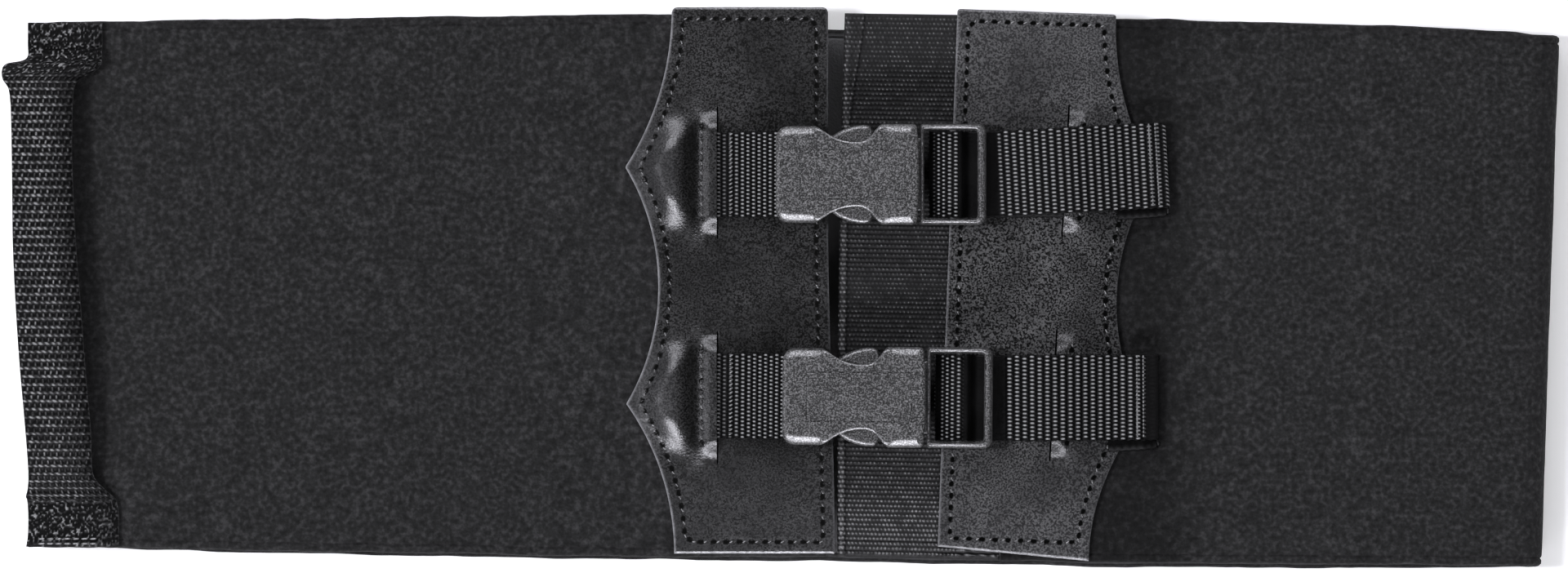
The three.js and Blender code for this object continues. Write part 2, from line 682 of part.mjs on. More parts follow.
// Out of the right slit, below the ladder frame, up and over its middle bar, down and back as a free tail
// that ends in a folded hem
function longStrap(name, { rightSlit, tail, swing, roll }) {
  const mid = WEB.thick / 2;
  const hidden = PATCH_LOW - DECK + mid;
  const second = WEB.thick + CLEAR + mid;
  const over = PLUG_BAR.high + CLEAR + mid;
  const front = PLUG_BAR.from - CLEAR - mid - 0.4;
  const rear = PLUG_BAR.to + CLEAR + mid + 0.3;
  const hump = BULGE[0].lip + mid + 0.1; // over the leather that is lifted at the slit
  const swingAt = (x) => (swing * (x - PLUG.to)) / (tail - PLUG.to);
  const onTail = (x, z, radius) => ({ x, z, radius, y: swingAt(x) });
  const way = roundedWay([
    { x: rightSlit + SLIT_WAY.sewn, z: hidden },
    { x: rightSlit + SLIT_WAY.foot, z: hidden, radius: 4 },
    { x: rightSlit + SLIT_WAY.lip, z: mid + 0.1, radius: 2 },
    { x: rightSlit - 6, z: mid, radius: 6 },
    { x: front, z: mid, radius: 1.6 },
    { x: front, z: over, radius: 1.6 },
    { x: rear, z: over, radius: 1.6 },
    { x: rear + 1.4, z: second, radius: 2.2 },
    onTail(PLUG.to, second, 0),
    onTail(rightSlit + TAIL_HUMP.from, second, 12),
    onTail(rightSlit - TAIL_HUMP.flat, hump, 8),
    onTail(rightSlit + TAIL_HUMP.flat, hump, 8),
    onTail(rightSlit + TAIL_HUMP.to, second, 12),
    onTail(tail - TAIL_HEM.roll, second, 6),
    onTail(tail - mid, second - roll, 0.75),
    { x: tail - mid, z: mid - roll, y: swing - TAIL_HEM.drop * 0.8, radius: 0.75 },
    { x: tail - TAIL_HEM.roll, z: mid, y: swing - TAIL_HEM.drop, radius: 6 },
    { x: tail - TAIL_HEM.length, z: mid, y: swing - TAIL_HEM.drop * 1.2 },
  ]);
  return part(name, ribbon(way, WEB.width, WEB.thick), 'webbing');
}

function closure(row) {
  const group = new THREE.Group();
  group.position.set(row.x, row.y, DECK);
  group.rotation.z = THREE.MathUtils.degToRad(row.turn);
  group.add(
    shortStrap(`${row.name}_short_strap`, row),
    buckleSocket(`${row.name}_buckle_socket`),
    bucklePlug(`${row.name}_buckle_plug`),
    longStrap(`${row.name}_long_strap`, row),
  );
  return group;
}

// Hand loop

function handLoop() {
  const curve = (...keys) => {
    const points = HAND_LOOP.map((row) => new THREE.Vector3(...keys.map((key) => row[key])));
    return new THREE.CatmullRomCurve3(points, false, 'catmullrom', 0.5);
  };
  const plan = curve('y', 'left', 'right');
  const heights = curve('riseLeft', 'riseRight', 'crown');
  const across = spaced(0, 1, 4);
  const rings = spaced(0, 1, 2 * (HAND_LOOP.length - 1)).map((t) => {
    const { x: y, y: left, z: right } = plan.getPoint(t);
    const { x: riseLeft, y: riseRight, z: crown } = heights.getPoint(t);
    const point = (share, layer) => {
      const edge = Math.abs(2 * share - 1);
      const rise = Math.max(lerp(riseLeft, riseRight, share), 0) + Math.max(crown, 0) * (1 - edge * edge);
      const thin = edge === 1 ? LOOP_T * 0.2 : 0;
      const height = layer === 'top' ? LOOP_T - thin : thin;
      return new THREE.Vector3(lerp(left, right, share), y, FLAP_TOP + CLEAR + rise + height);
    };
    const topSide = across.map((share) => point(share, 'top'));
    const lowSide = across.map((share) => point(share, 'low')).reverse();
    return [...topSide, ...lowSide];
  });
  return part('hand_loop', loft(rings), 'webbing');
}

const belt = new THREE.Group();
belt.name = 'kidney_belt';
belt.add(mainBand(), leftFlap(), stretchPanel());
belt.add(...PATCHES.map(leatherPatch));
belt.add(...CLOSURES.map(closure));
belt.add(handLoop());

// The origin is the middle of the underside
const box = new THREE.Box3().setFromObject(belt);
const centre = box.getCenter(new THREE.Vector3());
belt.children.forEach((child) => child.position.sub(new THREE.Vector3(centre.x, centre.y, box.min.z)));

export default belt;
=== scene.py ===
# The looks of a kidney belt, fastened and laid flat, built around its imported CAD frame.
# Sizes are in millimetres in the belt's own frame, the one of the part's source, until a piece is made.
import math

import bmesh
import bpy
import numpy as np
from mathutils import Matrix, Vector


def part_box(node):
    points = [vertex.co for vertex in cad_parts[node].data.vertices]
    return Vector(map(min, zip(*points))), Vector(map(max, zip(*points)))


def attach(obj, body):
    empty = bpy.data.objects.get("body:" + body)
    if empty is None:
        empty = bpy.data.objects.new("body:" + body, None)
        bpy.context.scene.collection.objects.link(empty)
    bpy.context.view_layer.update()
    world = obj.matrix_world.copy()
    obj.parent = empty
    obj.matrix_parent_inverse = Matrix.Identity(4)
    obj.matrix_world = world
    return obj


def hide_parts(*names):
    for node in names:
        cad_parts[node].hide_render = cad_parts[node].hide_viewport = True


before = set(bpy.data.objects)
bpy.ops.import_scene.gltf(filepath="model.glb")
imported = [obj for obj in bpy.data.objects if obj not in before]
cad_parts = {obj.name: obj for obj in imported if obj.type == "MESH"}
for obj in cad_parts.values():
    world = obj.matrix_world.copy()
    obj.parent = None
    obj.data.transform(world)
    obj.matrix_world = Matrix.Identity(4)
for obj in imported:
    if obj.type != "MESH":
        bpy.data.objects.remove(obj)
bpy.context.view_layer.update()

MM = 0.001
LEFT_PATCH_CORNER = (15.1, 81.8)  # highest x and y of the left patch in the belt's own frame
ROW_SHIFT = np.array([*(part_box("left_patch")[1].xy / MM), 0.0]) - [*LEFT_PATCH_CORNER, 0.0]

# Thicknesses and heights, as in the part's source
CLEAR = 0.3
BODY_T = 4.0
STRETCH_T = 2.2
HEM = {"width": 5.8, "thick": 3.1}
LEATHER_T = 1.5
WEB = {"width": 25.0, "thick": 1.4}
LOOP_T = 2.0
HOLLOW = 6.5
BACK_MID = BODY_T / 2
FRONT_MID = BODY_T + HOLLOW + BODY_T / 2
FRONT_TOP = FRONT_MID + BODY_T / 2
PATCH_LOW = FRONT_TOP + CLEAR
DECK = PATCH_LOW + LEATHER_T + CLEAR

# The band's way round: folds, sags, seams and leans
RIGHT_FOLD = {"x": 215.9, "radius": 6.5}
LEFT_FOLD = {"x": -212.5, "radius": 4.75}
RIGHT_TOP_MID = BACK_MID + 2 * RIGHT_FOLD["radius"]
UNDER_FLAP_MID = BACK_MID + 2 * LEFT_FOLD["radius"]
FLAP_HIGH_MID = UNDER_FLAP_MID + BODY_T + CLEAR
FLAP_TOP = FLAP_HIGH_MID + BODY_T / 2
RIGHT_SAG = (118, 205)
LEFT_SAG = (-122, -66)
UNDER_FLAP_END = -128
SEAM_X = 66
RIGHT_LEAN = 0.0345
HEM_LEAN = 0.0135

# Upper and lower edge of each layer along the belt: x, top, bottom
FLAP_EDGES = np.array([
    (-219.9, 77.3, -75.6),
    (-180.6, 78.0, -76.1),
    (-113.9, 78.9, -77.3),
    (-41.3, 79.9, -78.5),
    (12.6, 80.4, -78.5),
])
FRONT_EDGES = np.array([
    (17.0, 80.1, -78.5),
    (50.4, 79.6, -79.2),
    (99.2, 78.6, -80.4),
    (173.0, 76.5, -80.6),
    (224.4, 73.9, -81.4),
])
BACK_EDGES = np.array([
    (-219.3, 76.8, -75.6),
    (-156.8, 76.3, -77.3),
    (-85.4, 76.0, -78.9),
    (15.8, 75.4, -80.0),
    (105.1, 74.6, -81.7),
    (176.5, 74.2, -82.0),
    (224.4, 73.9, -81.4),
])

# Padded cloth: distances in from an edge where its face is sampled, closer together by the hem seam
EDGE_ROUND = 1.8
EDGE_ANGLES = np.radians([60, 30, 0, -30, -60])
HEM_SEAM = {"inset": 2.5, "half": 0.36, "depth": 0.45}
FACE_STEPS = np.array([EDGE_ROUND, 2.05, 2.3, 2.5, 2.7, 2.95, 3.4, 4.2, 5.6, 7.4])
END_STEPS = np.array([0, 0.15, 0.5, 1.0, 1.8])  # distance from a free end
END_SHARES = np.array([0.25, 0.52, 0.78, 0.93, 1.0])  # share of the thickness there
CLOTH_STEP = 3.0  # distance between sections along the belt
BESIDE_LOOP = (-206, -190)  # x where the painted shade of the hand loop's shadow is full, and where it ends
# x where the painted shade beside the right patch is full, and where it ends
BESIDE_PATCH = (104, 128)

# Leather patches, u out from the straight edge and v up from the middle
PATCH = {
    "half": 79.65,
    "end_reach": 45.2,
    "waist_reach": 49.5,
    "waist_v": -1.5,
    "point_reach": 59.0,
    "points": (-36.0, 33.0),
    "kick_from": 20.0,  # v below which the straight edge swings out
    "slit_half": 19.3,
    "slit_gap": 0.5,
}
PATCHES = [
    {
        "name": "left_patch",
        "side": -1,
        "x": 13.2,
        "y": 2.15,
        "turn": 0.0,
        "slits": (-33.9, 31.3),
        "slit": 32.2,
        "slit_lean": 0.0,  # slopes of the slits and of the outer edge against the straight edge
        "flare": 0.0045,
        "kick": 1.9,  # how far the lower end of the straight edge swings out
        "cut": (0.0, 0.0),  # lift of the lower edge at the straight edge and at the outer edge
        "sewn": 0.0,  # lift of the stitches along the lower edge
        "puff": 1.0,
        "corner": 1.6,  # radius of the upper corners
        # pale line along each cut edge: partly worn edge, partly painted highlight on the edges that face
        # the lamps
        "wear_and_painted_light": {"outer": 0.8, "straight": 0.3, "top": 0.3, "bottom": 1.0},
        # painted light: how much paler the upper and lower ends are
        "painted_light": (0.005, 0.035),
    },
    {
        "name": "right_patch",
        "side": 1,
        "x": 48.0,
        "y": 1.75,
        "turn": -2.1,
        "slits": (-32.1, 33.4),
        "slit": 32.6,
        "slit_lean": 0.018,
        "flare": 0.014,
        "kick": 0.0,
        "cut": (2.4, -0.3),
        "sewn": 1.6,
        "puff": 0.0,
        "corner": 0.8,
        # pale line along each cut edge: partly worn edge, partly painted highlight on the edges that face
        # the lamps
        "wear_and_painted_light": {"outer": 0.12, "straight": 0.4, "top": 0.25, "bottom": 0.9},
        # painted light: how much paler the upper and lower ends are
        "painted_light": (0.075, 0.065),
    },
]
# How the leather rises going outwards from the slit: distance, lip over the webbing, fold beyond it
# and puffed part
BULGE = np.array([
    (0.0, 3.5, 0.0, 0.0),
    (2.4, 3.0, 0.3, 0.0),
    (4.0, 1.3, 1.3, 0.0),
    (5.4, 0.1, 1.7, 0.0),
    (7.0, 0.0, 1.5, 0.2),
    (8.6, 0.0, 1.0, 1.3),
    (10.2, 0.0, 0.4, 3.2),
    (12.0, 0.0, 0.0, 4.7),
    (14.0, 0.0, 0.0, 5.1),
    (19.0, 0.0, 0.0, 5.0),
    (24.0, 0.0, 0.0, 4.6),
    (28.0, 0.0, 0.0, 4.2),
])
# Where each of these rises starts to fall and ends, from the slit's middle
RISE_V = [(12.5, 18.6), (12.5, 24.0), (5.5, 18.5)]
# Painted shade in the crease: distance from the slit, half widths to either side, and where it fades along
# the slit
CREASE = {"out": 7.0, "in": 1.7, "beyond": 3.6, "from": 11.0, "to": 20.0}
STRAP_SHADE = {"from": 12, "half": 5, "in": (12, 24), "share": 0.6}  # painted shade on the leather beside the straps
PUFF_EDGE = (1.4, 8.0)  # distance from the cut edge where the puffed part starts, and is full
PUFF_BLUR = (-4.0, -2.0, 0.0, 2.0, 4.0)
STITCH = {
    "inset": 3.4,
    "pitch": 3.75,
    "seam_out": 4.7,
    "seam_half": 15.0,
    "groove": 0.78,  # half length and half width of the groove that a stitch pulls into the leather
    "half": 0.52,
    "depth": 0.14,
    "pull": (0.1, 0.9),  # depth and half width of the hollow along the row of stitches
    "tick": (0.8, 1.9),  # the stretch of thread that shows, from the middle of the stitch
    "sunk": 0.14,  # how far the thread lies below the face
    "slant": 0.3,
    "radius": 0.19,
}
CUT_ROUND = {"reach": 0.75, "drop": 0.42}  # rounding of the cut edges
# Pale marks on the leather: a line along the cut edges and the slits, partly worn edge and partly painted
# highlight, and painted light on the puffed parts
WEAR_AND_LIGHT = {
    "width": 0.38,  # of the pale line along the cut edges
    "slit": 0.25,  # strength and width of the one along the slits
    "slit_width": 0.3,
    "puffed": 0.045,  # painted light: strength on the puffed parts, and where they start and end
    "out": (9, 14),
    "along": (9, 22),
}
PATCH_STEPS = np.array([0, 0.14, 0.36, 0.75, 1.5, 2.4, 2.95, 3.28, 3.6, 3.92, 4.25, 5.0])
PATCH_ROW_STEP = 0.55
PATCH_COLUMNS = {"inner": 42, "outer": 24}  # columns to either side of the slit, away from it
SLIT_STEPS = (1.4, 0.7, 0.45)  # distances from the slit of the columns inside it, then outside it
LIP_STEPS = np.array([0.45, 0.8, 1.4, 2.2, 3.1, 4.0, 4.4, 4.7, 5.0, 5.3, 5.6, 6.2])

# Side release buckle, from the strap end of the socket to the ladder end of the plug
SOCKET = {
    "length": 41.1,
    "bow": 0.5,
    "thick": 11.0,
    "tail_half": 14.05,
    "corner": 4.2,
    "waist_from": 11.2,
    "waist_x": 23.6,
    "waist_half": 9.45,
    "mouth_from": 30.8,
    "mouth_half": 14.7,
    "mouth_corner": 1.6,
}
# Boxes cut out of the buckle or joined to it: x from and to, half width, z low and high, rounding
PAST_MOUTH = SOCKET["length"] + 3
CAVITY = {"from": 12.0, "to": PAST_MOUTH, "half": 12.0, "low": 2.6, "high": 8.4, "bevel": 0.8}
STRAP_SLOT = {"from": -3.0, "to": 8.4, "half": 13.0, "low": 1.6, "high": 8.8, "bevel": 0.8}
SOCKET_BAR = {"from": 1.6, "to": 5.6, "low": 4.0, "high": 6.4, "bevel": 0.9}
SOCKET_BAR["half"] = STRAP_SLOT["half"] + 0.4
PANEL = {"from": 6.9, "to": 37.4, "half": 7.4, "line": 0.45, "depth": 0.3}  # sunk border of the face
PLUG = {
    "from": 42.1,
    "to": 61.2,
    "half": 14.7,
    "low": 3.4,
    "high": 9.6,
    "corner": 2.9,
    "window_from": 43.1,
    "window_to": 58.7,
    "window_half": 13.0,
    "window_corner": 1.4,
}
PLUG_BAR = {"from": 50.5, "to": 52.6, "low": 3.4, "high": 5.6, "bevel": 0.8}
PLUG_BAR["half"] = PLUG["window_half"] + 0.8
STEM = {"from": 33.0, "to": PLUG["from"] + 0.8, "half": 10.6, "low": 3.3, "high": 7.7, "bevel": 0.5}
TONGUE = {"from": 20.0, "to": STEM["from"] + 1, "half": 2.6, "low": 4.0, "high": 7.0, "bevel": 0.5}
PRONG = {
    "tip": 14.5,
    "tip_half": 8.6,
    "inner_half": 6.6,
    "button": 25.6,
    "button_half": 14.4,
    "heel": 28.1,
}

# The two closures: place and turn in degrees of the buckle, what lies along it, and how the tail ends:
# how far it rolls down, where its hem is sewn and how worn flat the weave is beyond that
CLOSURES = [
    {
        "name": "upper",
        "x": -2.0,
        "y": 33.0,
        "turn": 0.0,
        "left_slit": -16.8,
        "right_slit": 84.2,
        "tail": 114.4,
        "swing": 2.9,
        "roll": 0.3,
        "hem": 3.4,
        "dull": 0.2,
    },
    {
        "name": "lower",
        "x": -0.1,
        "y": -31.6,
        "turn": -0.5,
        "left_slit": -18.7,
        "right_slit": 78.9,
        "tail": 110.3,
        "swing": 0.7,
        "roll": 1.1,
        "hem": 5.2,
        "dull": 0.85,
    },
]
# Ways of the straps, in distances from their slit unless it says otherwise
SLIT_WAY = {"foot": 3.9, "lip": 0.45}  # where a strap rises below the leather, and where it comes out
SHORT_STRAP = {
    "sewn": 7.4,  # end below the leather
    "joined": 4.2,  # from here on it lies over its other end
    "end": 5.8,  # the other end
    "lift": 9.0,  # distance before the socket where it starts to rise to the bar
    "dull": 0.5,  # how flat the weave is worn beside the slit, and where that starts and ends
    "dull_start": (1.0, 1.8),
    "dull_end": (3.5, 6.5),
}
LONG_STRAP = {
    "sewn": 6.0,  # end below the leather
    "flat": 6.0,  # from here on it lies flat
    "front": 1.8,  # distance from the front of the ladder's window where it turns up
    "rise": 2.3,  # height of that turn
    "rear": 0.3,  # room behind the bar, and length of the way down there
    "drop": 1.4,
}
# Thread across the straps: a bar tack on each short one, two rows in the hem of each tail
BAR_TACK = {"out": 3.7, "half": 11.4, "count": 20, "step": (1.1, 0.6, 0.0), "radius": 0.22}
HEM_STITCH = {"from": -11.6, "to": 11.4, "count": 22, "apart": 1.8, "dash": 0.85, "radius": 0.24}
# Where the tail rises over the leather's lip, and the hem folded below its end
TAIL_HUMP = {"from": -16.0, "to": 19.0, "flat": 3.0}
TAIL_HEM = {"length": 15.5, "drop": 3.0, "roll": 5.2}

# Weave of the webbing: yarns across its width, length of a yarn's float, depth of the dips
YARNS = 22
FLOAT = {"long": 2.21, "short": 1.8}
WEAVE_DEPTH = 0.65
GATHER = 0.28  # how much closer the yarns lie where the strap is pulled through the ladder

# Hand loop: y, left edge, right edge, rise of each edge above the flap, crown of the middle
HAND_LOOP = np.array([
    (77.3, -219.9, -198.2, 0, 0, 0),
    (71.0, -219.9, -198.2, 0, 0, 0),
    (67.6, -219.9, -198.2, 0.2, 0, 0.2),
    (66.2, -221.4, -198.2, 2.4, 0, 0.6),
    (65.2, -226.0, -198.4, 4.6, 0.1, 1.0),
    (63.2, -227.2, -200.2, 5.8, 0.6, 1.2),
    (60.6, -226.9, -204.8, 6.2, 2.6, 1.5),
    (58.0, -225.3, -206.2, 6.6, 5.2, 1.7),
    (54.0, -224.7, -206.5, 7.0, 6.6, 1.8),
    (50.2, -224.5, -206.6, 7.4, 7.2, 1.9),
    (36.1, -224.2, -206.6, 8.2, 8.2, 2),
    (12.4, -223.9, -205.5, 8.6, 8.6, 2),
    (-6.8, -223.0, -204.0, 8.4, 8.4, 2),
    (-23.4, -221.9, -202.8, 7.8, 7.8, 1.9),
    (-41.1, -220.4, -201.3, 6.4, 6.4, 1.6),
    (-53.8, -219.6, -200.8, 3.8, 3.8, 1),
    (-58.5, -219.9, -197.6, 1.8, 1.6, 0.3),
    (-60.8, -220.4, -195.0, 1.5, 1.1, 0.1),
    (-62.0, -220.1, -194.0, 0.1, 0.1, 0),
    (-66.0, -219.8, -193.4, 0, 0, 0),
    (-72.0, -219.9, -193.4, 0, 0, 0),
    (-75.5, -220.4, -193.4, 0, 0, 0),
])
# The upper end of the loop is folded over its tab along a line from its left end: x, y, slope, step
LOOP_FOLD = {"x": -226.0, "y": 65.3, "slope": 0.165, "step": 1.7}
LOOP_SEAMS = {"y": (-73.2, -74.6), "from": -216.8, "to": -200.4, "pitch": 2.5, "dash": 1.9}
KNIT = {"row": 2.4, "dash": 1.83, "slant": -1.1, "depth": 0.8, "tab": 60.0}
RIB = {
    "count": 115,
    "dash": 1.15,
    "depth": 0.45,
    "shown": 34.0,  # width that the right patch leaves uncovered
    "hem_low": 2.4,  # width of the rolled hem lower down
    "bow": 0.7,
    "low_seams": (1.9, 4.9),
}


# Small helpers


def smoothstep(value, low, high):
    t = np.clip((value - low) / (high - low), 0, 1)
    return t * t * (3 - 2 * t)


def smooth_read(table, at):
    """The second column of a table read at values of the first, on a curve without corners."""
    x, y = table[:, 0], table[:, 1]
    slope = np.gradient(y, x)
    at = np.clip(at, x[0], x[-1])
    i = np.clip(np.searchsorted(x, at, side="right") - 1, 0, len(x) - 2)
    span = x[i + 1] - x[i]
    t = (at - x[i]) / span
    start = (1 + 2 * t) * (1 - t) ** 2 * y[i] + t * (1 - t) ** 2 * span * slope[i]
    return start + t * t * (3 - 2 * t) * y[i + 1] + t * t * (t - 1) * span * slope[i + 1]


def noise(x, y, size, seed):
    """Smooth noise from -1 to 1 whose spots are about size across."""
    table = np.random.default_rng(seed).uniform(-1, 1, (61, 61))
    gx, gy = np.asarray(x) / size, np.asarray(y) / size
    ix, iy = np.floor(gx).astype(int), np.floor(gy).astype(int)
    fx, fy = smoothstep(gx - ix, 0, 1), smoothstep(gy - iy, 0, 1)

    def at(a, b):
        return table[a % 61, b % 61]

    low = at(ix, iy) * (1 - fx) + at(ix + 1, iy) * fx
    high = at(ix, iy + 1) * (1 - fx) + at(ix + 1, iy + 1) * fx
    return low * (1 - fy) + high * fy


def steps_between(low, high, step):
    return np.linspace(low, high, max(2, round(abs(high - low) / step) + 1))


def run_along(line):
    """The length of a line of points up to each of them."""
    return np.concatenate([[0], np.cumsum(np.linalg.norm(np.diff(line, axis=0), axis=1))])


def tapered(count):
    """Share of the full thickness at each of many sections between two free ends."""
    share = np.ones((count, 1))
    share[: len(END_SHARES), 0] = END_SHARES
    share[-len(END_SHARES) :, 0] = END_SHARES[::-1]
    return share


def placed(points, place):
    """Points of a patch or a closure turned about Z by its turn and moved to its place."""
    angle = math.radians(place["turn"])
    turn = np.array([[math.cos(angle), -math.sin(angle)], [math.sin(angle), math.cos(angle)]])
    points = np.array(points, float)
    points[..., :2] = points[..., :2] @ turn.T + [place["x"], place["y"]]
    points[..., 2] += place["z"]
    return points


def on_deck(points, closure):
    """Points of a closure, whose z is 0 just above the leather."""
    return placed(points, {**closure, "z": DECK})


# Meshes


def add_piece(name, points, faces, material, slot, marks=None, sharp=None):
    """A piece of the belt from points in millimetres; marks are values at its points for its material."""
    mesh = bpy.data.meshes.new(name)
    moved = (np.asarray(points, float).reshape(-1, 3) + ROW_SHIFT) * MM
    mesh.from_pydata(moved.tolist(), [], [list(map(int, face)) for face in faces])
    for mark, values in (marks or {}).items():
        layer = mesh.attributes.new(mark, "FLOAT", "POINT")
        layer.data.foreach_set("value", np.asarray(values, np.float32).ravel())
    mesh.polygons.foreach_set("use_smooth", [True] * len(mesh.polygons))
    if sharp:
        mesh.set_sharp_from_angle(angle=math.radians(sharp))
    mesh.materials.append(material)
    piece = bpy.data.objects.new(name, mesh)
    bpy.context.scene.collection.objects.link(piece)
    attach(piece, "root")
    return piece


def outward(points, faces):
    """The faces, all turned over if they enclose the points inside out."""
    corners = [points[faces[:, k]] for k in range(3)]
    volume = np.einsum("ij,ij->", corners[0], np.cross(corners[1], corners[2]))
    return faces[:, ::-1] if volume < 0 else faces


def loft(rings):
    """Points and faces of a closed body through rings of points, with flat ends."""
    count, size = rings.shape[:2]
    i, j = np.meshgrid(np.arange(count - 1), np.arange(size), indexing="ij")
    a = (i * size + j).ravel()
    b = (i * size + (j + 1) % size).ravel()
    points = rings.reshape(-1, 3)
    quads = outward(points, np.stack([a, b, b + size, a + size], 1))
    ends = [np.arange(size), np.arange(size) + (count - 1) * size]
    first = quads[0].tolist()
    forward = (first.index(1) - first.index(0)) % 4 == 1 if {0, 1} <= set(first) else True
    caps = [ends[0][::-1], ends[1]] if forward else [ends[0], ends[1][::-1]]
    return points, [*quads.tolist(), *[cap.tolist() for cap in caps]]


def thick_sheet(top, low, quads):
    """Points and faces of a closed sheet: an upper and a lower surface with the same quads, and a rim."""
    count = len(top)
    edges = np.concatenate([quads[:, [k, (k + 1) % 4]] for k in range(4)])
    keys = np.sort(edges, 1) @ [count, 1]
    _, first, times = np.unique(keys, return_index=True, return_counts=True)
    border = edges[first[times == 1]]
    rim = np.stack([border[:, 1], border[:, 0], border[:, 0] + count, border[:, 1] + count], 1)
    points = np.concatenate([top, low])
    return points, outward(points, np.concatenate([quads, quads[:, ::-1] + count, rim])).tolist()


# Materials


def new_material(name, **sockets):
    material = bpy.data.materials.new(name)
    material.use_nodes = True
    shader = material.node_tree.nodes["Principled BSDF"]
    for socket, value in sockets.items():
        shader.inputs[socket.replace("_", " ")].default_value = value
    return material, material.node_tree, shader


def add_node(tree, kind, links=None, **settings):
    """A node with its settings; links name its inputs and what feeds them."""
    node = tree.nodes.new(kind)
    for key, value in settings.items():
        if key in node.bl_rna.properties:
            setattr(node, key, value)
        else:
            node.inputs[key.replace("_", " ")].default_value = value
    for socket, source in (links or {}).items():
        tree.links.new(source, node.inputs[socket])
    return node


def add_noise(tree, size, detail=2.0, stretch=(1, 1, 1)):
    """Noise over the piece whose spots are about size millimetres across."""
    place = add_node(tree, "ShaderNodeTexCoord").outputs["Object"]
    if stretch != (1, 1, 1):
        mapping = add_node(tree, "ShaderNodeMapping", {"Vector": place}, Scale=stretch)
        place = mapping.outputs["Vector"]
    scale = 1 / (size * MM)
    made = add_node(tree, "ShaderNodeTexNoise", {"Vector": place}, Scale=scale, Detail=detail)
    return made.outputs["Fac"]


def add_ramp(tree, source, stops):
    """A grey ramp through (position, value) stops, values as linear light."""
    node = add_node(tree, "ShaderNodeValToRGB", {"Fac": source})
    elements = node.color_ramp.elements
    while len(elements) < len(stops):
        elements.new(0.5)
    for element, (position, value) in zip(elements, stops):
        element.position = position
        element.color = (value, value, value, 1)
    return node.outputs["Color"]


def add_mix(tree, factor, first, second, blend="MIX"):
    node = tree.nodes.new("ShaderNodeMix")
    node.data_type = "RGBA"
    node.blend_type = blend
    for name, value in (("Factor_Float", factor), ("A_Color", first), ("B_Color", second)):
        socket = next(s for s in node.inputs if s.identifier == name)
        if isinstance(value, bpy.types.NodeSocket):
            tree.links.new(value, socket)
        elif np.isscalar(value):
            socket.default_value = value if name == "Factor_Float" else (*([value] * 3), 1)
        else:
            socket.default_value = (*value, 1)
    return next(s for s in node.outputs if s.identifier == "Result_Color")


def add_product(tree, colour, *others):
    for other in others:
        colour = add_mix(tree, 1.0, colour, other, "MULTIPLY")
    return colour


def add_roughness(tree, size, detail, low, high):
    """A roughness that varies between two values in spots of a size."""
    return add_ramp(tree, add_noise(tree, size, detail), [(0.3, low), (0.7, high)])


def paint(tree, shader, colour, rough):
    tree.links.new(colour, shader.inputs["Base Color"])
    tree.links.new(rough, shader.inputs["Roughness"])


def add_mark(tree, name):
    return add_node(tree, "ShaderNodeAttribute", attribute_name=name).outputs["Fac"]


def add_bump(tree, shader, height, strength, distance):
    made = add_node(tree, "ShaderNodeBump", {"Height": height}, Strength=strength, Distance=distance)
    tree.links.new(made.outputs["Normal"], shader.inputs["Normal"])


def velour_material():
    """Brushed loop cloth: soft, mottled, with pale specks where the pile turns; painted shade beside the
    hand loop and the right patch, and inner faces painted lighter as painted light.
    """
    material, tree, shader = new_material(
        "velour", Sheen_Weight=0.045, Sheen_Roughness=0.5, Specular_IOR_Level=0.05
    )
    pile = add_ramp(tree, add_noise(tree, 1.5, 3), [(0.3, 0.008), (0.52, 0.0177), (0.74, 0.041)])
    drift = add_ramp(tree, add_noise(tree, 9, 2), [(0.25, 0.72), (0.75, 1.0)])
    # Painted shade: the pile is darkened beside the hand loop and the right patch, where their shadows fall
    pressed = add_ramp(tree, add_mark(tree, "pressed"), [(0.0, 1.0), (1.0, 0.45)])
    outside = add_product(tree, pile, drift, pressed)
    # Painted light: the inner faces are painted a lighter grey, which lifts the deep gap beside the left
    # patch out of its shade
    colour = add_mix(tree, add_mark(tree, "lining"), outside, (0.15, 0.15, 0.153))
    paint(tree, shader, colour, add_roughness(tree, 0.8, 1, 0.86, 0.98))
    add_bump(tree, shader, add_noise(tree, 0.7, 3), 0.55, 0.5 * MM)
    return material


def elastic_material():
    """Covered rubber: dark between the ribs, paler where the thread rides over them."""
    material, tree, shader = new_material(
        "elastic", Sheen_Weight=0.02, Sheen_Roughness=0.4, Specular_IOR_Level=0.1
    )
    speck = add_ramp(tree, add_noise(tree, 0.6, 2), [(0.35, 0.4), (0.7, 1.25)])
    thread = add_ramp(tree, add_mark(tree, "relief"), [(0.15, 0.0038), (0.45, 0.026), (0.9, 0.21)])
    colour = add_product(tree, thread, speck)
    paint(tree, shader, colour, add_roughness(tree, 0.9, 1, 0.5, 0.75))
    add_bump(tree, shader, add_noise(tree, 0.35, 2, (1, 3, 1)), 0.35, 0.25 * MM)
    return material


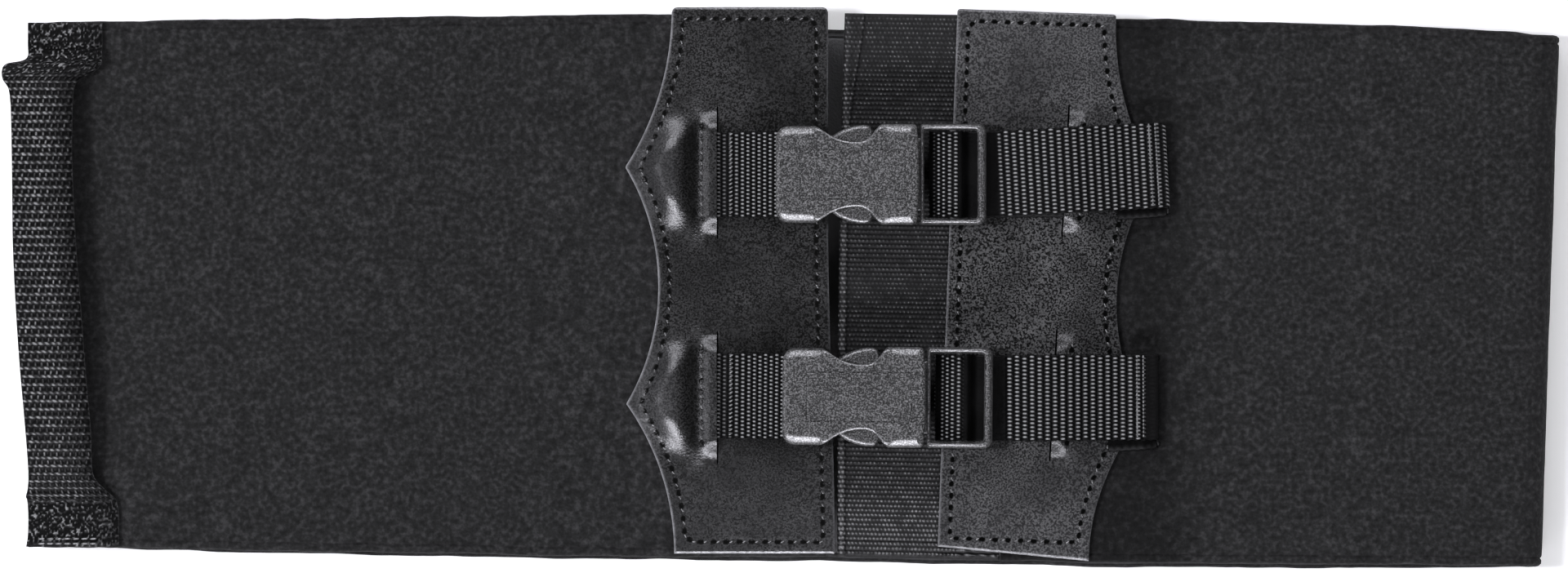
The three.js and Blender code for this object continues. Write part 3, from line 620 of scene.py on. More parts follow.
def leather_material(name, tones, gloss):
    """Finished leather: fine pebble grain and a satin gloss; pale worn cut edges with painted highlight on
    those that face the lamps, painted light on the ends and the puffed parts, and painted shade in the
    stitch holes, the crease and beside the straps.
    """
    material, tree, shader = new_material(name, Specular_IOR_Level=gloss)
    fleck = add_ramp(tree, add_noise(tree, 0.55, 2), [(0.43, tones[0]), (0.58, tones[1])])
    tone = add_ramp(tree, add_noise(tree, 7, 3), [(0.3, 0.75), (0.7, 1.2)])
    broad = add_ramp(tree, add_noise(tree, 24, 2), [(0.36, 0.5), (0.66, 1.15)])
    grey = add_product(tree, fleck, tone, broad)
    # Pale mark: worn cut edges with painted highlight, and painted light on the ends and puffed parts
    worn = add_mix(tree, add_mark(tree, "wear_and_painted_light"), grey, (0.32, 0.32, 0.33))
    sunk = add_mark(tree, "sunk")
    crease = add_mark(tree, "crease")
    # Painted shade: the stitch holes darkened, where their shadow falls
    dark = add_ramp(tree, sunk, [(0.08, 1.0), (0.4, 0.02)])
    # Painted shade: the crease and the leather beside the straps darkened, and made smoother
    creased = add_ramp(tree, crease, [(0.0, 1.0), (1.0, 0.2)])
    rough = add_roughness(tree, 1.4, 3, 0.23, 0.32)
    smooth = add_mix(tree, add_ramp(tree, sunk, [(0.05, 0.0), (0.3, 1.0)]), crease, 1.0)
    paint(tree, shader, add_product(tree, worn, dark, creased), add_mix(tree, smooth, rough, 0.14))
    place = add_node(tree, "ShaderNodeTexCoord").outputs["Object"]
    pebble = add_node(tree, "ShaderNodeTexVoronoi", {"Vector": place}, Scale=1 / (0.75 * MM))
    grain = add_mix(tree, 0.55, pebble.outputs["Distance"], add_noise(tree, 0.4, 3))
    add_bump(tree, shader, grain, 0.6, 0.22 * MM)
    return material


def webbing_material(name, stops, fibre):
    """Woven yarn: painted shade in the dips and painted highlights along the floats, from the relief mark;
    fibre is the twist's size.
    """
    material, tree, shader = new_material(
        name, Specular_IOR_Level=0.03, Sheen_Weight=0.01, Sheen_Roughness=0.35
    )
    speck = add_ramp(tree, add_noise(tree, fibre, 2), [(0.3, 0.55), (0.7, 1.2)])
    yarn = add_ramp(tree, add_mark(tree, "relief"), stops)
    colour = add_product(tree, yarn, speck)
    paint(tree, shader, colour, add_roughness(tree, 1.2, 1, 0.36, 0.52))
    add_bump(tree, shader, add_noise(tree, fibre / 2, 2), 0.3, 0.12 * MM)
    return material


def thread_material():
    """Sewing thread, twisted and slightly waxed."""
    material, tree, shader = new_material("thread", Specular_IOR_Level=0.5)
    colour = add_ramp(tree, add_noise(tree, 0.5, 1), [(0.35, 0.05), (0.65, 0.22)])
    paint(tree, shader, colour, add_roughness(tree, 0.8, 1, 0.35, 0.55))
    add_bump(tree, shader, add_noise(tree, 0.2, 1), 0.3, 0.1 * MM)
    return material


def plastic_material():
    """Moulded plastic with a fine speckled grain."""
    material, tree, shader = new_material("plastic", Specular_IOR_Level=0.5)
    tone = add_ramp(tree, add_noise(tree, 5, 2), [(0.3, 0.006), (0.7, 0.015)])
    fleck = add_ramp(tree, add_noise(tree, 0.45, 2), [(0.44, 0.0), (0.7, 0.178)])
    colour = add_mix(tree, 1.0, tone, fleck, "ADD")
    paint(tree, shader, colour, add_roughness(tree, 1.1, 2, 0.3, 0.4))
    add_bump(tree, shader, add_noise(tree, 0.35, 2), 0.35, 0.1 * MM)
    return material


VELOUR = velour_material()
ELASTIC = elastic_material()
LEATHER = {
    "left_patch": leather_material("leather", (0.0, 0.034), 0.5),
    # The right patch is the same leather in lighter tones, painted light, with a weaker gloss
    "right_patch": leather_material("leather_painted_lighter", (0.003, 0.07), 0.2),
}
WEBBING = webbing_material("webbing", [(0.3, 0.001), (0.65, 0.008), (0.97, 0.33)], 0.3)
KNITTED = webbing_material("knitted_webbing", [(0.2, 0.005), (0.5, 0.042), (0.9, 0.29)], 0.35)
THREAD = thread_material()
PLASTIC = plastic_material()


# Padded cloth


def edges_at(table, x):
    return np.interp(x, table[:, 0], table[:, 1]), np.interp(x, table[:, 0], table[:, 2])


def cloth_sections(x, z, nx, nz, table, lean, edge_x=None):
    """Sections of a layer along its way: place and outward direction of the middle, edges and lean."""
    x = np.asarray(x, float)
    top, bottom = edges_at(table, x if edge_x is None else np.full_like(x, edge_x))
    columns = [x, z, nx, nz, top, bottom, lean]
    return np.stack([np.broadcast_to(np.asarray(c, float), x.shape) for c in columns], 1)


def layer_sections(x, mid_of, table, lean):
    slope = mid_of(x + 0.5) - mid_of(x - 0.5)
    length = np.hypot(1, slope)
    return cloth_sections(x, mid_of(x), -slope / length, 1 / length, table, lean)


def fold_sections(fold, from_angle, to_angle, lean):
    angle = np.radians(np.linspace(from_angle, to_angle, 17))
    nx, nz = np.cos(angle), np.sin(angle)
    x = fold["x"] + nx * fold["radius"]
    z = BACK_MID + fold["radius"] + nz * fold["radius"]
    nose = fold["x"] + math.copysign(fold["radius"], fold["x"])
    return cloth_sections(x, z, nx, nz, BACK_EDGES, lean, nose)


def with_ends(low, high, step):
    """Values between two free ends, closer together towards them."""
    last = END_STEPS[-1]
    sign = math.copysign(1, high - low)
    inner = steps_between(low + sign * last, high - sign * last, step)
    return np.concatenate([low + sign * END_STEPS[:-1], inner, high - sign * END_STEPS[-2::-1]])


def cloth_body(sections, middle, seed):
    """Rings round a layer of padded cloth with soft edges, hem seams and a slightly uneven pile."""
    x, z, nx, nz, top, bottom, lean = sections.T[:, :, None]
    along = np.cumsum(np.hypot(np.diff(x[:, 0], prepend=x[0, 0]), np.diff(z[:, 0], prepend=z[0, 0])))
    along = along[:, None]
    top = top + 0.22 * noise(along, 0, 11, seed) + 0.1 * noise(along, 0, 3, seed + 1)
    bottom = bottom + 0.22 * noise(along, 9, 11, seed) + 0.1 * noise(along, 9, 3, seed + 1)
    upper = top - FACE_STEPS
    lower = bottom + FACE_STEPS[::-1]
    share = np.linspace(0, 1, middle + 2)[1:-1]
    inner = upper[:, -1:] + (lower[:, :1] - upper[:, -1:]) * share
    face = np.hstack([upper, inner, lower])
    fade = tapered(len(sections))
    half = BODY_T / 2 * fade
    inset = np.minimum(top - face, face - bottom)
    sunk = HEM_SEAM["depth"] * np.exp(-(((inset - HEM_SEAM["inset"]) / HEM_SEAM["half"]) ** 2))

    def pile(side):
        broad = 0.16 * (1 + noise(along, face, 21, seed + side))
        return sunk + broad + 0.07 * (1 + noise(along, face, 4.2, seed + side + 5))

    edge_y = EDGE_ROUND * (1 - np.cos(EDGE_ANGLES))
    edge_off = np.sin(EDGE_ANGLES)
    ring_y = np.hstack([face, bottom + edge_y, face[:, ::-1], top - edge_y[::-1]])
    off = np.hstack([
        half - pile(2) * fade,
        half * edge_off,
        -(half - pile(3) * fade)[:, ::-1],
        half * edge_off[::-1],
    ])
    return np.stack([x + nx * off + lean * ring_y, ring_y, z + nz * off], 2)


# Mask of the inner faces that the velour paints lighter, as painted light
def inner_face_mark(rings):
    """1 on the inner face of a layer made by cloth_body, 0 elsewhere."""
    edge = len(EDGE_ANGLES)
    face = rings.shape[1] // 2 - edge
    mark = np.zeros(rings.shape[:2])
    mark[:, face + edge : 2 * face + edge] = 1
    return mark


def left_flap():
    def mid(x):
        return FLAP_HIGH_MID + (FRONT_MID - FLAP_HIGH_MID) * smoothstep(x, *LEFT_SAG)

    x = with_ends(FLAP_EDGES[0, 0], FLAP_EDGES[-1, 0], 1.7)
    rings = cloth_body(layer_sections(x, mid, FLAP_EDGES, 0), 84, 11)
    # painted shade on the pile right of the hand loop, where its shadow falls
    beside_loop = 1 - smoothstep(rings[:, :, 0], *BESIDE_LOOP)
    marks = {"pressed": 0.5 * beside_loop, "lining": inner_face_mark(rings)}
    piece = add_piece("flap_cloth", *loft(rings), VELOUR, "cloth", marks)
    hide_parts("left_flap")


def main_band():
    def front_mid(x):
        return FRONT_MID + (RIGHT_TOP_MID - FRONT_MID) * smoothstep(x, *RIGHT_SAG)

    first = with_ends(SEAM_X + CLEAR / 2, RIGHT_FOLD["x"] - 3, CLOTH_STEP)[: -len(END_STEPS) + 1]
    back = steps_between(RIGHT_FOLD["x"] - 3, LEFT_FOLD["x"] + 3, CLOTH_STEP)
    last = with_ends(LEFT_FOLD["x"] + 3, UNDER_FLAP_END, CLOTH_STEP)[len(END_STEPS) - 1 :]
    back_lean = RIGHT_LEAN * (back - LEFT_FOLD["x"]) / (RIGHT_FOLD["x"] - LEFT_FOLD["x"])
    sections = np.concatenate([
        layer_sections(first, front_mid, FRONT_EDGES, RIGHT_LEAN),
        fold_sections(RIGHT_FOLD, 90, -90, RIGHT_LEAN),
        cloth_sections(back, BACK_MID, 0, -1, BACK_EDGES, back_lean),
        fold_sections(LEFT_FOLD, 270, 90, 0),
        cloth_sections(last, UNDER_FLAP_MID, 0, 1, BACK_EDGES, 0, LEFT_FOLD["x"]),
    ])
    rings = cloth_body(sections, 60, 31)
    front = np.arange(len(rings))[:, None] < len(first)
    # painted shade on the front right of the right patch
    beside_patch = np.where(front, 1 - smoothstep(rings[:, :, 0], *BESIDE_PATCH), 0)
    marks = {"pressed": beside_patch, "lining": inner_face_mark(rings)}
    piece = add_piece("band_cloth", *loft(rings), VELOUR, "cloth", marks)
    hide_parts("main_band")


def stretch_panel():
    """Ribbed elastic, with a rolled hem down its free edge that is widest at the top."""
    free = FRONT_EDGES[0, 0]
    seam = SEAM_X - CLEAR / 2
    start = free + END_STEPS[-1]
    step = RIB["dash"] / 3
    shown = start + step * np.arange(round(RIB["shown"] / step))
    covered = with_ends(shown[-1] + step - END_STEPS[-1], seam, 1.6)[len(END_STEPS) - 1 :]
    x = np.concatenate([free + END_STEPS[:-1], shown, covered])
    u = (x - free)[:, None]
    across = u / (seam - free)
    lean = HEM_LEAN + (RIGHT_LEAN - HEM_LEAN) * across
    top, bottom = (edge[:, None] for edge in edges_at(FRONT_EDGES, x))
    rib = np.arange(2, 4 * RIB["count"] - 1) / 4
    rows = len(rib)
    face = top + (bottom - top) * rib / RIB["count"]
    under = top + (bottom - top) * np.linspace(0.996, 0.004, 46)
    hem = RIB["hem_low"] + (HEM["width"] - RIB["hem_low"]) * smoothstep(face, 45, 82)
    extra = (HEM["thick"] - STRETCH_T) / 2
    half = STRETCH_T / 2 + extra * (1 - smoothstep(u, hem - 0.6, hem + 0.2))
    under_half = STRETCH_T / 2 + extra * (1 - smoothstep(u, HEM["width"] - 0.5, HEM["width"] + 0.2))
    row = np.round(rib)
    ridge = np.cos(np.pi * (rib - row)) ** 2
    shift = 0.5 * (row % 2) + 0.1 * np.random.default_rng(3).uniform(-1, 1, rows)
    dash = 0.58 + 0.42 * np.cos(2 * np.pi * (u / RIB["dash"] + shift))
    relief = np.clip(ridge * dash * (0.86 + 0.34 * noise(u, rib, 1.2, 5)), 0, 1)
    from_low = face - bottom
    seams = 0.45 * np.exp(-(((u - hem - 0.25) / 0.35) ** 2))
    for inset in RIB["low_seams"]:
        seams = seams + 0.4 * np.exp(-(((from_low - inset) / 0.3) ** 2))
    sunk = RIB["depth"] * (1 - relief) + seams
    ring_y = np.hstack([face, bottom, under, top])
    zero = np.zeros_like(u)
    low = -under_half + zero * under
    off = np.hstack([half - sunk, zero, low, zero]) * tapered(len(x))
    bow = -RIB["bow"] * (1 - (ring_y / top) ** 2) * (1 - across)
    mid = FRONT_TOP - STRETCH_T / 2
    rings = np.stack([free + u + lean * ring_y + bow, ring_y, mid + off], 2)
    # painted highlights along the free edge and the hem's edge
    painted_hem_highlights = np.exp(-(((u - 0.8) / 0.5) ** 2)) + np.exp(-(((u - hem + 0.5) / 0.4) ** 2))
    mark = np.full(ring_y.shape, 0.4)
    # painted light: the ribs paler towards the lower edge, nearer the lamp on that side
    pale = 0.8 + 0.6 * smoothstep(-face, 40, 72)
    mark[:, :rows] = np.clip(pale * relief * (1 - seams) + 0.3 * painted_hem_highlights, 0, 1)
    piece = add_piece("elastic_cloth", *loft(rings), ELASTIC, "elastic", {"relief": mark})
    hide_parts("stretch_panel")


# Stitches


def stitches(name, starts, ends, radius):
    """Short lengths of thread from each start to each end, arched a little and tucked in at both."""
    around, along = 8, np.linspace(0, 1, 7)
    angle = np.linspace(0, 2 * np.pi, around, endpoint=False)
    points, faces = [], []
    for start, end in zip(np.asarray(starts, float), np.asarray(ends, float)):
        line = end - start
        side = np.cross([0, 0, 1], line)
        side /= np.linalg.norm(side)
        up = np.cross(line, side) / np.linalg.norm(line)
        thin = radius * np.sqrt(np.clip(1 - (2 * along - 1) ** 4, 0.06, 1))
        centre = start + np.outer(along, line) + np.outer(np.sin(np.pi * along) * radius * 0.5, up)
        ring = np.cos(angle)[:, None] * side + np.sin(angle)[:, None] * up
        rings = centre[:, None] + thin[:, None, None] * ring
        body, quads = loft(rings)
        base = sum(len(p) for p in points)
        points.append(body)
        faces += [[index + base for index in face] for face in quads]
    return add_piece(name, np.concatenate(points), faces, THREAD, "webbing")


# Leather patches


def patch_reach(v):
    """u of the outer edge at height v: arcs that meet in two points."""
    low_point, high_point = PATCH["points"]

    def arc(reach, distance, span):
        rise = PATCH["point_reach"] - reach
        radius = (span**2 + rise**2) / (2 * rise)
        return reach + radius - np.sqrt(np.maximum(radius**2 - distance**2, 0))

    half, waist = PATCH["half"], PATCH["waist_v"]
    upper = arc(PATCH["end_reach"], half - v, half - high_point)
    lower = arc(PATCH["end_reach"], half + v, half + low_point)
    high_waist = arc(PATCH["waist_reach"], v - waist, high_point - waist)
    low_waist = arc(PATCH["waist_reach"], v - waist, waist - low_point)
    middle = np.where(v > waist, high_waist, low_waist)
    return np.where(v >= high_point, upper, np.where(v <= low_point, lower, middle))


def corner_inset(v, row):
    """How far the rounded upper corners pull the long edges in."""
    radius = row["corner"]
    into = np.clip(radius - (PATCH["half"] - v), 0, radius)
    return radius - np.sqrt(radius**2 - into**2)


def outer_edge(v, row):
    return patch_reach(v) + row["flare"] * v - corner_inset(v, row)


def straight_edge(v, row):
    """u of the straight edge, whose lower end may swing out."""
    start = PATCH["kick_from"]
    return corner_inset(v, row) - row["kick"] * smoothstep(start - v, 0, start + PATCH["half"])


def lower_lift(u, v, row):
    """How far the lower end is moved up: its stitches alike, its edge more or less than they."""
    stitched = PATCH["half"] - STITCH["inset"]
    sewn = row["sewn"]
    cut = row["cut"][0] + (row["cut"][1] - row["cut"][0]) * u / PATCH["end_reach"]
    edge = smoothstep(-v, stitched, PATCH["half"])
    return sewn * smoothstep(-v, 50, stitched) + (cut - sewn) * edge


def slit_line(v, row):
    return row["slit"] + row["slit_lean"] * v


def patch_slant(v, row):
    """How much longer a step along u is than the same step square to the outer edge."""
    slope = (patch_reach(v + 0.4) - patch_reach(v - 0.4)) / 0.8 + row["flare"]
    return np.hypot(1, slope)


def from_slit(v, row):
    """Distance along the slits from the middle of the nearest one."""
    return np.min([np.abs(v - slit) for slit in row["slits"]], axis=0)


def from_outer_edge(u, v, row):
    return (outer_edge(v, row) - u) / patch_slant(v, row)


def patch_rise(u, v, row):
    """Rise outside the slit: a lip over the sewn webbing, and a puffed part towards the point."""
    nearest = from_slit(v, row)
    out = np.maximum(u - slit_line(v, row), 0)
    from_edge = [from_outer_edge(u, v + d, row) for d in PUFF_BLUR]
    border = np.mean([smoothstep(distance, *PUFF_EDGE) for distance in from_edge], axis=0)
    share = [1 - smoothstep(nearest, *fall) for fall in RISE_V]
    lip, fold, puff = (share[k] * smooth_read(BULGE[:, [0, k + 1]], out) for k in range(3))
    return lip + fold + row["puff"] * border * puff


def patch_crease(u, v, row):
    """Painted shade: how dark the crease between the lip and the puffed part is painted, and the leather
    beside the straps.
    """
    nearest = from_slit(v, row)
    out = u - slit_line(v, row) - CREASE["out"]
    length = 1 - smoothstep(nearest, CREASE["from"], CREASE["to"])
    half = np.where(out > 0, CREASE["beyond"], CREASE["in"])
    past = np.maximum(nearest - STRAP_SHADE["from"], 0) / STRAP_SHADE["half"]
    strap_shade = STRAP_SHADE["share"] * np.exp(-(past**2)) * smoothstep(-out, *STRAP_SHADE["in"])
    return row["puff"] * np.maximum(length * np.exp(-((out / half) ** 2)), strap_shade)


def patch_edge_distance(u, v, row):
    across = np.minimum(u - straight_edge(v, row), from_outer_edge(u, v, row))
    return np.minimum(across, PATCH["half"] - np.abs(v))


def patch_stitch_line(row):
    """The line of stitches all round the patch, inside its edge."""
    inset = STITCH["inset"]
    end = PATCH["half"] - inset
    up = np.linspace(-end, end, 600)
    outer = outer_edge(up, row) - inset * patch_slant(up, row)
    side = np.stack([outer[::-1], up[::-1]], 1)
    straight = np.stack([straight_edge(up, row) + inset, up], 1)
    return np.concatenate([straight, side, straight[:1]])


def walk(line, pitch):
    """Points on a line at equal distances, as near to the pitch as goes in it."""
    length = run_along(line)
    at = np.linspace(0, length[-1], round(length[-1] / pitch) + 1)
    return np.stack([np.interp(at, length, line[:, k]) for k in range(line.shape[1])], 1)


def patch_holes(row):
    """Rows of needle holes: round the edge, and down the seams that hold the webbing below."""
    rows = [walk(patch_stitch_line(row), STITCH["pitch"])]
    for slit in row["slits"]:
        ends = np.array([slit - STITCH["seam_half"], slit + STITCH["seam_half"]])
        seam_u = slit_line(ends, row) + STITCH["seam_out"]
        rows.append(walk(np.stack([seam_u, ends], 1), STITCH["pitch"] * 0.8))
    return rows


def grooves(u, v, line):
    """How far each point lies in the grooves that the stitches of a line pull into the leather."""
    total = np.zeros_like(u)
    for start, end in zip(line, line[1:]):
        middle, step = (start + end) / 2, end - start
        ahead = step / np.linalg.norm(step)
        along = (u - middle[0]) * ahead[0] + (v - middle[1]) * ahead[1]
        across = (v - middle[1]) * ahead[0] - (u - middle[0]) * ahead[1]
        total += np.exp(-((along / STITCH["groove"]) ** 4) - (across / STITCH["half"]) ** 2)
    return np.minimum(total, 1)


def patch_wear_and_light(u, v, row):
    """Pale marks: a worn line along the cut edges, partly painted highlight on the edges that face the
    lamps, and painted light on the ends and on the puffed parts.
    """
    distances = {
        "outer": from_outer_edge(u, v, row),
        "straight": u - straight_edge(v, row),
        "top": PATCH["half"] - v,
        "bottom": PATCH["half"] + v,
    }
    # line along the cut edges: partly worn edge, partly painted highlight where an edge faces the lamps
    worn = [row["wear_and_painted_light"][edge] * np.exp(-((d / WEAR_AND_LIGHT["width"]) ** 2)) for edge, d in distances.items()]
    # painted light: ends paler towards the top and bottom, then the puffed parts paler
    top, bottom = row["painted_light"]
    painted_light = np.where(v > 0, top, bottom) * (v / PATCH["half"]) ** 2
    nearest = from_slit(v, row)
    out = smoothstep(u - slit_line(v, row), *WEAR_AND_LIGHT["out"])
    puffed = row["puff"] * out * (1 - smoothstep(nearest, *WEAR_AND_LIGHT["along"]))
    painted_light = painted_light + WEAR_AND_LIGHT["puffed"] * puffed
    return painted_light + np.max(worn, axis=0) * (0.75 + 0.25 * noise(u + v, v, 2.5, 73))


def leather_top(u, v, lifted, row):
    """Height of the upper surface above the patch's underside, without the needle holes."""
    rise = np.where(lifted, patch_rise(u, v, row), 0)
    edge = patch_edge_distance(u, v, row)
    drop = CUT_ROUND["drop"] * (1 - smoothstep(edge, -0.05, CUT_ROUND["reach"])) ** 2
    deep, half = STITCH["pull"]
    pull = deep * np.exp(-(((edge - STITCH["inset"]) / half) ** 2))
    soft = 0.3 * noise(u, v, 19, 71) + 0.05 * noise(u, v, 3.5, 72)
    return rise + LEATHER_T - drop - pull + soft * smoothstep(edge, 0.5, 5)


def patch_grid(row):
    """Points over a patch in u and v, which of them lie outside the slit, and which rows cross one."""
    half, border = PATCH["half"], PATCH_STEPS[-1]
    inner_rows = steps_between(-half + border, half - border, PATCH_ROW_STEP)
    v = np.concatenate([-half + PATCH_STEPS[:-1], inner_rows, half - PATCH_STEPS[-2::-1]])[:, None]
    in_slit = np.any([np.abs(v[:, 0] - s) < PATCH["slit_half"] for s in row["slits"]], axis=0)
    gap = np.where(in_slit, PATCH["slit_gap"] / 2, 0)[:, None]
    slit, start = slit_line(v, row), straight_edge(v, row)
    far, near, nearest = SLIT_STEPS
    share = np.linspace(0, 1, PATCH_COLUMNS["inner"])[1:]
    plain = start + border + (slit - far - start - border) * share
    inner_u = np.hstack([start + PATCH_STEPS, plain, slit - near, slit - nearest, slit - gap])
    edge = outer_edge(v, row) - PATCH_STEPS[::-1] * patch_slant(v, row)
    share = np.linspace(0, 1, PATCH_COLUMNS["outer"])[1:-1]
    middle = slit + LIP_STEPS[-1] + (edge[:, :1] - slit - LIP_STEPS[-1]) * share
    outer_u = np.hstack([slit + gap, slit + LIP_STEPS, middle, edge])
    u = np.hstack([inner_u, outer_u])
    lifted = np.hstack([np.zeros_like(inner_u, bool), np.ones_like(outer_u, bool)])
    return u, np.broadcast_to(v, u.shape), lifted, in_slit


def patch_quads(lifted, in_slit):
    """The points that are used and the faces between them, open only along the slits."""
    rows, columns = lifted.shape
    inner_count = np.argmax(lifted[0])
    index = np.arange(rows * columns).reshape(rows, columns)
    joined = index.copy()
    joined[~in_slit, inner_count] = index[~in_slit, inner_count - 1]
    quads = []
    for first, last in ((0, inner_count - 1), (inner_count, columns - 1)):
        a, b = joined[:-1, first:last], joined[:-1, first + 1 : last + 1]
        c, d = joined[1:, first + 1 : last + 1], joined[1:, first:last]
        quads.append(np.stack([a, b, c, d], 2).reshape(-1, 4))
    used, quads = np.unique(np.concatenate(quads), return_inverse=True)
    return used, quads.reshape(-1, 4)


def patch_thread(row, holes, place):
    """The stretches of thread that show between the needle holes."""
    starts, ends = [], []
    for line in holes:
        lifted = line[:, 0] > slit_line(line[:, 1], row)
        height = leather_top(line[:, 0], line[:, 1], lifted, row)
        moved = line[:, 1] + lower_lift(line[:, 0], line[:, 1], row)
        at = np.stack([row["side"] * line[:, 0], moved, height - STITCH["sunk"]], 1)
        middle, step = (at[:-1] + at[1:]) / 2, np.diff(at, axis=0)
        ahead = step / np.linalg.norm(step, axis=1)[:, None]
        slanted = STITCH["slant"] * np.stack([-ahead[:, 1], ahead[:, 0], 0 * ahead[:, 0]], 1)
        starts.append(middle + STITCH["tick"][0] * ahead - slanted)
        ends.append(middle + STITCH["tick"][1] * ahead + slanted)
    starts = placed(np.concatenate(starts), place)
    ends = placed(np.concatenate(ends), place)
    return stitches(f"stitches_{row['name']}", starts, ends, STITCH["radius"])


def leather_patch(row):
    name, side, half = row["name"], row["side"], PATCH["half"]
    u, v, lifted, in_slit = patch_grid(row)
    holes = patch_holes(row)
    # the grooves also paint shade into the stitch holes through the leather's colour
    sunk = np.max([grooves(u, v, line) for line in holes], axis=0)
    top = leather_top(u, v, lifted, row) - STITCH["depth"] * sunk
    low = np.where(lifted, patch_rise(u, v, row), 0)
    # pale line along the inner side of each slit: partly worn cut edge, partly painted highlight
    beside_slit = np.where(in_slit[:, None] & ~lifted, slit_line(v, row) - u, np.inf)
    slit_wear_and_highlight = WEAR_AND_LIGHT["slit"] * np.exp(-((beside_slit / WEAR_AND_LIGHT["slit_width"]) ** 2))
    wear_and_painted_light = np.maximum(patch_wear_and_light(u, v, row), slit_wear_and_highlight)
    used, quads = patch_quads(lifted, in_slit)
    place = {**row, "z": PATCH_LOW}
    moved = v + lower_lift(u, v, row)
    upper = placed(np.stack([side * u, moved, top], 2).reshape(-1, 3)[used], place)
    lower = placed(np.stack([side * u, moved, low], 2).reshape(-1, 3)[used], place)
    # sunk and crease are painted shade: the stitch holes, the crease and the leather beside the straps
    # darkened
    shades = {"wear_and_painted_light": wear_and_painted_light, "sunk": sunk, "crease": patch_crease(u, v, row)}
    marks = {name: np.tile(mark.ravel()[used], 2) for name, mark in shades.items()}
    points, faces = thick_sheet(upper, lower, quads)
    piece = add_piece(f"leather_{name}", points, faces, LEATHER[name], "leather", marks, sharp=50)
    thread = patch_thread(row, holes, place)
    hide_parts(name)
    up = np.linspace(-half, half, 400)
    area = np.trapz(outer_edge(up, row) - straight_edge(up, row), up) * MM**2


# Buckles


def bezier(points, count):
    """Points on a Bezier curve of any order, without its first."""
    t = np.linspace(0, 1, count + 1)[1:, None]
    points = [np.asarray(p, float) for p in points]
    while len(points) > 1:
        points = [a * (1 - t) + b * t for a, b in zip(points, points[1:])]
    return points[0]


def mirrored(half):
    """A closed outline, anticlockwise, from its upper half given from left to right."""
    half = np.asarray(half, float)
    above = half[half[:, 1] > 1e-6]
    return np.concatenate([half[::-1], above * [1, -1]])


def inset_outline(outline, distance):
    """The outline moved inwards by a distance at each of its points."""
    before, after = np.roll(outline, 1, 0), np.roll(outline, -1, 0)
    into, out = outline - before, after - outline
    into /= np.linalg.norm(into, axis=1)[:, None]
    out /= np.linalg.norm(out, axis=1)[:, None]
    inward = np.stack([-(into + out)[:, 1], (into + out)[:, 0]], 1)
    inward /= np.linalg.norm(inward, axis=1)[:, None]
    lean = np.clip(inward[:, 0] * -into[:, 1] + inward[:, 1] * into[:, 0], 0.5, 1)
    return outline + inward * (np.asarray(distance) / lean)[:, None]


def rounded_prism(outline, low, high, profile, share=1.0):
    """A raised outline whose upper and lower edges are rounded; share scales the rounding at each point."""
    share = np.broadcast_to(share, (len(outline),))
    levels = [(profile[-1 - k][0], low + profile[-1 - k][1]) for k in range(len(profile))]
    levels += [(inset, high - drop) for inset, drop in profile]
    rings = []
    for inset, z in levels:
        depth = (high - z if z > (low + high) / 2 else z - low) * share
        height = high - depth if z > (low + high) / 2 else low + depth
        flat = inset_outline(outline, inset * share)
        rings.append(np.column_stack([flat, height]))
    return loft(np.array(rings))


def to_bmesh(points, faces):
    made = bmesh.new()
    corners = [made.verts.new(p) for p in points]
    for face in faces:
        made.faces.new([corners[i] for i in face])
    bmesh.ops.recalc_face_normals(made, faces=made.faces)
    return made


def block(box, y=0.0):
    """A box from, to in x and low, high in z, as wide as twice half about y, with its edges rounded."""
    made = bmesh.new()
    size = Matrix.Diagonal((box["to"] - box["from"], 2 * box["half"], box["high"] - box["low"], 1))
    middle = ((box["from"] + box["to"]) / 2, y, (box["low"] + box["high"]) / 2)
    bmesh.ops.create_cube(made, size=1, matrix=Matrix.Translation(middle) @ size)
    if box["bevel"]:
        shape = {"offset": box["bevel"], "segments": 3, "profile": 0.5, "affect": "EDGES"}
        bmesh.ops.bevel(made, geom=made.edges[:], **shape)
    return made


def combined(first, others):
    """A solid after adding or cutting others, each given with UNION or DIFFERENCE."""
    scene = bpy.context.scene.collection
    objects = []
    for solid in [first, *[solid for _, solid in others]]:
        mesh = bpy.data.meshes.new("solid")
        solid.to_mesh(mesh)
        solid.free()
        objects.append(bpy.data.objects.new("solid", mesh))
        scene.objects.link(objects[-1])
    body = objects[0]
    for (operation, _), other in zip(others, objects[1:]):
        modifier = body.modifiers.new("combine", "BOOLEAN")
        modifier.operation = operation
        modifier.solver = "EXACT"
        modifier.object = other
    view = bpy.context.evaluated_depsgraph_get()
    result = bpy.data.meshes.new_from_object(body.evaluated_get(view))
    points = np.array([v.co for v in result.vertices])
    faces = [list(p.vertices) for p in result.polygons]
    for made in objects:
        bpy.data.meshes.remove(made.data)
    bpy.data.meshes.remove(result)
    return points, faces


# How a moulded edge is rounded: distance in from the side, distance down from the face
SOCKET_EDGE = [
    (0.0, 2.5),
    (0.1, 1.9),
    (0.35, 1.35),
    (0.75, 0.95),
    (1.3, 0.65),
    (2.0, 0.28),
    (2.4, 0.1),
    (2.9, 0.0),
]
PRONG_EDGE = [(0, 1.7), (0.12, 1.1), (0.42, 0.6), (0.9, 0.26), (1.5, 0.06), (2.0, 0)]
# Round the ladder frame's section: share of the way from its window to its outside, and height,
# below the top where it is negative or 0 and above the bottom where it is positive
LADDER_SECTION = [
    (0.0, 0.9),
    (0.0, -1.5),
    (0.05, -0.85),
    (0.16, -0.36),
    (0.3, -0.08),
    (0.44, 0.0),
    (0.6, -0.1),
    (0.76, -0.42),
    (0.9, -0.95),
    (0.97, -1.5),
    (1.0, -2.2),
    (1.0, 0.9),
    (0.85, 0.25),
    (0.6, 0.02),
    (0.3, 0.02),
    (0.1, 0.25),
]


